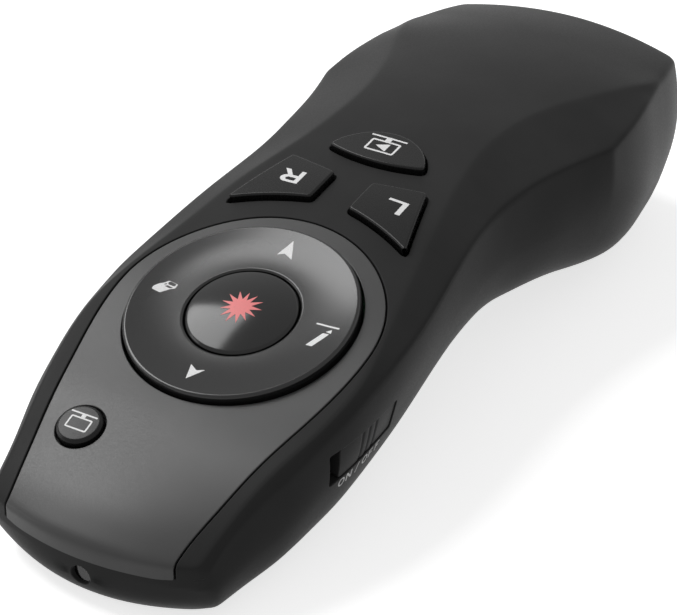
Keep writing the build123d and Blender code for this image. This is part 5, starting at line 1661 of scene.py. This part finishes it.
@dataclass
class Dial:
    """Ring, laser button and round key: profiles turned about the normals of their seats."""

    seat: Seat = Seat((0.0, -28.2, 22.5), 15.24)
    blank_seat: Seat = Seat((-8.8, -50.8, 15.4), 18.5)
    ring_outer: float = 15.0
    ring_inner: float = 7.4
    ring_under: float = -1.5
    skirt_inner: float = 14.1
    skirt_foot: float = -2.5
    dish: float = 0.6
    button_radius: float = 7.22
    button_flange: float = 7.65
    crown: float = 0.9
    button_edge: float = 0.55
    blank_radius: float = 2.95

    def ring_height(self, radius: Array) -> Array:
        """Height of the ring's dished face at a radius: a shallow bowl, level at its hole."""
        share = (radius - self.ring_inner) / (self.ring_outer - self.ring_inner)
        return -self.dish * (1 - share**2)

    def button_height(self, radius: Array) -> Array:
        """Height of the laser button's crowned face at a radius."""
        return -self.button_edge + self.crown * (1 - (radius / self.button_radius) ** 2)

    def ring(self) -> Shape:
        """Ring with bevelled rims and a skirt."""
        radius = np.linspace(self.ring_outer - 0.4, self.ring_inner + 0.25, 40)
        face = np.stack((radius, self.ring_height(radius)), -1)
        outer, inner, under, foot = self.ring_outer, self.ring_inner, self.ring_under, self.skirt_foot
        skirt = [(self.skirt_inner, under), (self.skirt_inner, foot), (outer, foot)]
        bevel = [(outer, -0.42), (outer - 0.15, -0.14)]
        hole = [(inner, -0.8), (inner, under), (self.skirt_inner, under)]
        return turned(self.seat, np.concatenate((skirt, bevel, face, hole)), 0.06, 240, 120)

    def button(self) -> Shape:
        """Laser button with a crowned face and a flange."""
        radius = np.linspace(self.button_radius - 0.3, 0.0, 40)
        face = np.stack((radius, self.button_height(radius)), -1)
        rim, flange = self.button_radius, self.button_flange
        side = [(0.0, -2.7), (flange, -2.7), (flange, -2.1), (rim, -2.1), (rim, -0.8)]
        return turned(self.seat, np.concatenate((side, face)), 0.08, 200, 90)

    def blank(self) -> Shape:
        """Round key with a flat face and a bevelled rim."""
        rim, flange, bevel = self.blank_radius, self.blank_radius + 0.5, 0.35
        side = [(0.0, -2.4), (flange, -2.4), (flange, -1.9), (rim, -1.9), (rim, -bevel)]
        profile = np.array([*side, (rim - bevel, 0.0), (0.0, 0.0)])
        return turned(self.blank_seat, profile, 0.1, 120, 70)

    def on_turned(self, seat: Seat, height: Callable) -> Callable:
        """Function that gives points and normals of a turned face over flat points of its seat."""

        def read(flat: Array) -> tuple[Array, Array]:
            """Points and normals of the face."""
            radius = np.linalg.norm(flat, axis=1)
            small = 0.01
            slope = (height(radius + small) - height(radius - small)) / (2 * small)
            out = flat / np.maximum(radius, 1e-6)[:, None] * -slope[:, None]
            x, y, normal = seat.axes()
            return seat.at(flat, height(radius)), unit(normal + out[:, :1] * x + out[:, 1:] * y)

        return read


@dataclass
class Slider:
    """Power slider's cap: a piece of the side with three finger grooves."""

    form: BodyForm
    y_range: tuple = (-37.9, -25.2)
    z_range: tuple = (10.0, 14.1)
    plate_y: tuple = (-41.0, -22.6)
    plate_z: tuple = (9.2, 14.9)
    plate_lift: float = -2.35
    plate_depth: float = 0.5
    cap_lift: float = -0.18
    cap_depth: float = 2.35
    groove_pitch: float = 1.6
    groove_depth: float = 0.14
    groove_width: float = 0.26

    def grooves(self, points: Array) -> Array:
        """Depth of the grooves at points: a bell curve across each groove."""
        middle = sum(self.y_range) / 2
        away = points[:, 1:2] - middle - self.groove_pitch * np.array((-1.0, 0.0, 1.0))
        return -self.groove_depth * np.exp(-((away / self.groove_width) ** 2)).sum(axis=1)

    def cap(self) -> Shape:
        """The cap on the plate that closes the slot from inside."""
        loop, edge = (
            self.form.hit(side_loop(y_range, z_range, 0.25), TO_THE_RIGHT)
            for y_range, z_range in ((self.y_range, self.z_range), (self.plate_y, self.plate_z))
        )
        cap = Skin(
            self.form, [loop], self.cap_lift, lip=0.15, depth=self.cap_depth, relief=self.grooves, step=0.16
        )
        plate = Skin(self.form, [edge], self.plate_lift, lip=0.1, depth=self.plate_depth)
        return cap.shape().joined(plate.shape())


# ---- Printed marks ----


@dataclass
class Marks:
    """Printed marks: arrows and pictograms on the ring, letters and screens on the keys."""

    line: float = 0.32

    def polygon(self, points: tuple, softness: float = 0.05) -> Array:
        """Loop through corner points with slightly softened corners."""
        return even_loop(np.array(points, float), 0.1, softness)

    def bar(self, first: Flat, last: Flat, width: float) -> Array:
        """Straight bar between two points."""
        a, b = np.array(first), np.array(last)
        side = unit(np.array((a[1] - b[1], b[0] - a[0]))) * width / 2
        return self.polygon((a - side, b - side, b + side, a + side), 0.03)

    def arrows(self) -> Strokes:
        """The two notched arrow heads."""
        return [
            [self.polygon(((-0.2, 13.15), (-1.1, 10.4), (-0.2, 10.9), (1.15, 10.3)))],
            [self.polygon(((-0.2, -12.7), (1.2, -10.4), (0.2, -10.9), (-1.0, -10.2)))],
        ]

    def eraser(self) -> Strokes:
        """Eraser block seen aslant: its filled sleeve, and three open faces at its end."""
        block = (
            (-12.7, -1.11), (-12.75, -0.61), (-12.33, 0.06), (-11.86, 0.42), (-11.43, 1.02), (-10.05, 0.94),
            (-10.0, 0.19), (-10.55, -0.18), (-11.43, -1.22),
        )
        faces = (
            ((-11.35, 0.82), (-11.09, 0.98), (-10.25, 0.88), (-10.26, 0.45), (-11.21, 0.44)),
            ((-11.72, 0.28), (-11.42, 0.56), (-11.35, 0.37), (-11.61, 0.16)),
            ((-11.51, -0.01), (-11.18, 0.26), (-10.3, 0.17), (-10.67, -0.07)),
        )
        return [[self.polygon(block, 0.08), *(self.polygon(face, 0.03) for face in faces)]]

    def pen(self) -> Strokes:
        """Pen with its point, and the line that it draws."""
        return [
            [self.polygon(((10.45, -1.94), (11.34, -1.9), (12.39, 0.62), (11.51, 0.58)), 0.03)],
            [self.polygon(((11.71, 0.9), (12.36, 1.38), (12.55, 0.75)), 0.03)],
            [self.bar((9.85, 1.83), (13.15, 1.84), 0.26)],
        ]

    def burst(self) -> Strokes:
        """Star of thirteen rays, a little longer on some sides."""
        rays, tip, root = 13, 2.75, 1.3
        corner = np.arange(2 * rays)
        angle = corner * math.pi / rays + 0.2
        reach = np.where(corner % 2 == 0, tip, root) * (1 + 0.06 * np.sin(3.1 * angle))
        return [[even_loop(np.stack((reach * np.cos(angle), reach * np.sin(angle)), -1), 0.08, 0.03)]]

    def pictogram(self, size: float, filled: bool) -> Strokes:
        """Screen with its bar and mount, and a triangle in it if wanted.

        Args:
            size: factor on the drawing.
            filled: with the triangle.

        Returns:
            Loops of each stroke.
        """
        frame_line = self.polygon(((-2.3, -1.6), (2.3, -1.6), (2.3, 1.25), (-2.3, 1.25)), 0.25)
        shapes = [
            [frame_line, grown(frame_line, -self.line)],
            [self.bar((-2.9, 2.05), (2.7, 2.05), self.line)],
            [self.polygon(((-0.45, 1.2), (0.45, 1.2), (0.45, 1.95), (-0.45, 1.95)), 0.03)],
        ]
        if filled:
            shapes.append([self.polygon(((-1.1, -0.15), (0.8, -1.1), (0.8, 0.75)), 0.04)])
        return [[loop * size for loop in loops] for loops in shapes]

    def letter(self, name: str, middle: Flat, size: Flat) -> Strokes:
        """Outline of a letter with its top towards the nose.

        Args:
            name: one of R, L, O, N, F.
            middle: its middle.
            size: width and height.

        Returns:
            Loops of each stroke.
        """
        bowl = arc_through((0.55, 1.0), (0.86, 0.72), (0.55, 0.44), 16)
        inner = arc_through((0.5, 0.84), (0.64, 0.72), (0.5, 0.60), 12)
        oval = circle(1.0, 60) * (0.5, 0.52) + 0.5
        drawings = {
            "L": [[((0, 0), (0.86, 0), (0.86, 0.16), (0.22, 0.16), (0.22, 1), (0, 1))]],
            "R": [
                [
                    ((0, 0), (0.2, 0), (0.2, 0.42), (0.45, 0.42), (0.72, 0), (0.96, 0), (0.66, 0.45),
                     *bowl[::-1], (0, 1)),
                    ((0.2, 0.6), *inner[::-1], (0.2, 0.84)),
                ]
            ],
            "O": [[tuple(oval), tuple((oval - 0.5) * (0.62, 0.7) + 0.5)]],
            "N": [
                [
                    ((0, 0), (0.19, 0), (0.19, 0.68), (0.75, 0), (0.95, 0), (0.95, 1), (0.76, 1),
                     (0.76, 0.32), (0.2, 1), (0, 1))
                ]
            ],
            "F": [
                [
                    ((0, 0), (0.2, 0), (0.2, 0.42), (0.62, 0.42), (0.62, 0.58), (0.2, 0.58), (0.2, 0.84),
                     (0.72, 0.84), (0.72, 1), (0, 1))
                ]
            ],
        }
        shapes = []
        for loops in drawings[name]:
            placed = [(np.array(loop) - 0.5) * size + middle for loop in loops]
            shapes.append([even_loop(loop, 0.06, 0.02) for loop in placed])
        return shapes


def printed(shapes: Strokes, surface: Callable) -> Shape:
    """All strokes of a mark on a surface, as one shape."""
    made = [decal(loops, surface) for loops in shapes]
    return made[0].joined(*made[1:])


@dataclass
class Handset:
    """The whole handset: builds each piece and hangs it on its body."""

    paints: Paints
    text_from: float = -37.2
    text_height: float = 9.0

    def build(self) -> None:
        """Makes shells, panel, door, dial, keys, slider and marks in that order."""
        form = BodyForm()
        LOG.info("body surface ready")
        shells, keys, dial = Shells(form), Keys(form), Dial()
        self.make_shells(form, shells, keys, dial)
        self.make_dial(dial)
        self.make_keys(keys)
        self.make(Slider(form).cap(), "power_slider_cap", "power_slider", Slot.SLIDER, "power_slider")
        self.make_marks(form, keys, dial)

    def make(self, shape: Shape, name: str, body: str, slot: Slot, *nodes: str) -> None:
        """Puts a shape into the scene with its slot's finish."""
        shape.build(name, body, slot.value.name, self.paints.of(slot), *nodes)

    def mark(self, shape: Shape, name: str, body: str, ink: Ink) -> None:
        """Puts a printed mark into the scene."""
        shape.build(name, body, "", self.paints.of(ink))

    def make_shells(self, form: BodyForm, shells: Shells, keys: Keys, dial: Dial) -> None:
        """Makes the shells, the panel and the door."""
        ring = form.hit(dial.seat.at(circle(shells.ring_opening + shells.lip, 300)), dial.seat.axes()[2])
        round_key = dial.blank_radius + shells.gap + shells.lip
        blank = form.hit(dial.blank_seat.at(circle(round_key, 90)), dial.blank_seat.axes()[2])
        self.make(shells.upper(keys.openings()), "upper_cover", "housing", Slot.SHELL, "upper_shell")
        self.make(shells.panel([ring, blank]), "key_panel_cover", "housing", Slot.PANEL, "key_panel")
        self.make(shells.lower(), "lower_tub", "housing", Slot.SHELL, "lower_shell")
        self.make(shells.door(), "battery_cover", "battery_door", Slot.SHELL, "battery_door")

    def make_dial(self, dial: Dial) -> None:
        """Makes ring, laser button and round key."""
        self.make(dial.ring(), "dished_ring", "ring", Slot.RING, "nav_ring")
        self.make(dial.button(), "crowned_button", "laser_button", Slot.BUTTON, "laser_button")
        self.make(dial.blank(), "round_key", "blank_key", Slot.KEY, "blank_key")

    def make_keys(self, keys: Keys) -> None:
        """Makes the three keys behind the ring."""
        outlines = (keys.outline(1, 0.0), keys.outline(-1, 0.0), keys.play_outline(0.0))
        for name, outline in zip(("left", "right", "play"), outlines):
            self.make(keys.key(outline), f"key_{name}", f"{name}_key", Slot.KEY, f"{name}_key")

    def make_marks(self, form: BodyForm, keys: Keys, dial: Dial) -> None:
        """Prints every mark on the piece that carries it."""
        marks = Marks()
        ring = dial.on_turned(dial.seat, dial.ring_height)
        self.mark(printed(marks.arrows(), ring), "ring_arrows", "ring", Ink.WHITE)
        self.mark(printed(marks.eraser() + marks.pen(), ring), "ring_pictograms", "ring", Ink.WHITE)
        button = dial.on_turned(dial.seat, dial.button_height)
        self.mark(printed(marks.burst(), button), "laser_burst", "laser_button", Ink.RED)
        top = keys.top(keys.seat)
        for name, x in (("L", 7.8), ("R", -7.5)):
            strokes = marks.letter(name, (-x, -0.9), (3.3, 2.7))
            shape = printed([[loop * (-1, -1) for loop in loops] for loops in strokes], top)
            self.mark(shape, f"letter_{name}", "left_key" if x > 0 else "right_key", Ink.WHITE)
        play = [[loop + (-0.2, 2.2) for loop in loops] for loops in marks.pictogram(0.95, True)]
        self.mark(printed(play, keys.top(keys.play_seat)), "play_pictogram", "play_key", Ink.WHITE)
        blank = dial.on_turned(dial.blank_seat, lambda radius: 0.0 * radius)
        self.mark(printed(marks.pictogram(0.68, False), blank), "screen_pictogram", "blank_key", Ink.WHITE)
        self.make_switch_text(form, marks)

    def make_switch_text(self, form: BodyForm, marks: Marks) -> None:
        """Prints ON / OFF under the slider."""

        def side(flat: Array) -> tuple[Array, Array]:
            """Points and normals on the right side over flat points (y, z)."""
            place = form.hit(np.column_stack((np.zeros(len(flat)), flat)), TO_THE_RIGHT)
            return form.surface(place)

        y = self.text_from
        shapes = [[marks.bar((y + 3.35, self.text_height - 0.7), (y + 4.05, self.text_height + 0.7), 0.2)]]
        for name, along in (("O", 0.0), ("N", 1.75), ("O", 5.65), ("F", 7.4), ("F", 9.15)):
            shapes += marks.letter(name, (y + along, self.text_height), (1.4, 1.2))
        self.mark(printed(shapes, side), "switch_text", "housing", Ink.GREY)


# ---- Studio ----


@dataclass
class Studio:
    """Pale floor, soft lamps and the camera."""

    centre: Point = (0.16519, -0.27806, 0.20724)
    right: Point = (0.8558, 0.5174, 0.0)
    up: Point = (-0.2716, 0.4493, 0.8511)
    lens: float = 151.06
    sensor: float = 36.0
    floor_half: float = 6.0
    floor_glow: float = 0.72
    world_level: float = 0.28
    key_level: float = 6.5
    fill_level: float = 0.8

    def build(self) -> None:
        """Makes floor, world, lamp and camera."""
        self.make_floor()
        self.make_world()
        self.make_lamp("left_softbox", (-0.61, 0.05, 0.79), (0.5, 0.5), self.key_level)
        self.make_lamp("nose_softbox", (-0.95, -0.45, 0.25), (0.4, 0.4), self.fill_level)
        self.make_camera()
        LOG.info("studio ready")

    def seen_directly(self, tree: bpy.types.NodeTree) -> Socket:
        """One for rays from the camera, off gloss or through glass; zero for the light itself."""
        path = tree.nodes.new("ShaderNodeLightPath")
        total = path.outputs["Is Camera Ray"]
        for name in ("Is Glossy Ray", "Is Transmission Ray"):
            step = tree.nodes.new("ShaderNodeMath")
            step.operation = "MAXIMUM"
            tree.links.new(total, step.inputs[0])
            tree.links.new(path.outputs[name], step.inputs[1])
            total = step.outputs["Value"]
        return total

    def make_floor(self) -> None:
        """Makes the floor: pale paper that glows white to the eye and keeps the object's shadow."""
        half = self.floor_half
        mesh = bpy.data.meshes.new("floor")
        corners = [(-half, -half, 0), (half, -half, 0), (half, half, 0), (-half, half, 0)]
        mesh.from_pydata(corners, [], [(0, 1, 2, 3)])
        floor = link_object("floor", mesh)
        tree = Tree("floor_paper")
        paper = tree.noise(4.0, 2.0)
        plain = tree.add("ShaderNodeBsdfDiffuse")
        tree.feed(plain.inputs["Color"], tree.blend(paper, (0.79, 0.79, 0.79), (0.81, 0.81, 0.81)))
        glow = tree.add("ShaderNodeEmission")
        glow.inputs["Strength"].default_value = self.floor_glow
        bright = tree.add("ShaderNodeAddShader")
        tree.links.new(plain.outputs[0], bright.inputs[0])
        tree.links.new(glow.outputs[0], bright.inputs[1])
        chosen = tree.add("ShaderNodeMixShader")
        tree.links.new(self.seen_directly(tree.material.node_tree), chosen.inputs[0])
        tree.links.new(plain.outputs[0], chosen.inputs[1])
        tree.links.new(bright.outputs[0], chosen.inputs[2])
        mesh.materials.append(tree.close(chosen))

    def make_world(self) -> None:
        """White surroundings to the eye, an even soft light for the rest."""
        world = bpy.data.worlds.new("surroundings")
        world.use_nodes = True
        bpy.context.scene.world = world
        tree = world.node_tree
        ground = tree.nodes["Background"]
        ground.inputs["Color"].default_value = (1.0, 1.0, 1.0, 1.0)
        level = tree.nodes.new("ShaderNodeMapRange")
        level.inputs["To Min"].default_value = self.world_level
        tree.links.new(self.seen_directly(tree), level.inputs["Value"])
        tree.links.new(level.outputs["Result"], ground.inputs["Strength"])

    def make_lamp(self, name: str, place: Point, size: tuple[float, float], level: float) -> None:
        """Area lamp aimed at the object.

        Args:
            name: lamp's name.
            place: its position in metres.
            size: width and height in metres.
            level: power in watts.
        """
        data = bpy.data.lights.new(name, "AREA")
        data.shape = "RECTANGLE"
        data.size, data.size_y = size
        data.energy = level
        lamp = link_object(name, data)
        lamp.location = place
        lamp.rotation_euler = (-Vector(place)).to_track_quat("-Z", "Y").to_euler()

    def make_camera(self) -> None:
        """Camera from its place and its right and up directions."""
        data = bpy.data.cameras.new("camera")
        data.lens = self.lens
        data.sensor_width = self.sensor
        data.sensor_fit = "HORIZONTAL"
        camera = link_object("camera", data)
        right, up = Vector(self.right).normalized(), Vector(self.up).normalized()
        turn = Matrix((right, up, right.cross(up))).transposed().to_4x4()
        camera.matrix_world = Matrix.Translation(Vector(self.centre)) @ turn
        bpy.context.scene.camera = camera


def main() -> None:
    """Builds every piece in order."""
    logging.basicConfig(level=logging.INFO, format="%(message)s")
    bpy.context.scene.view_settings.view_transform = "Standard"
    paints = Paints()
    paints.dress_solids()
    Handset(paints).build()
    Studio().build()


if __name__ == "__main__":
    main()
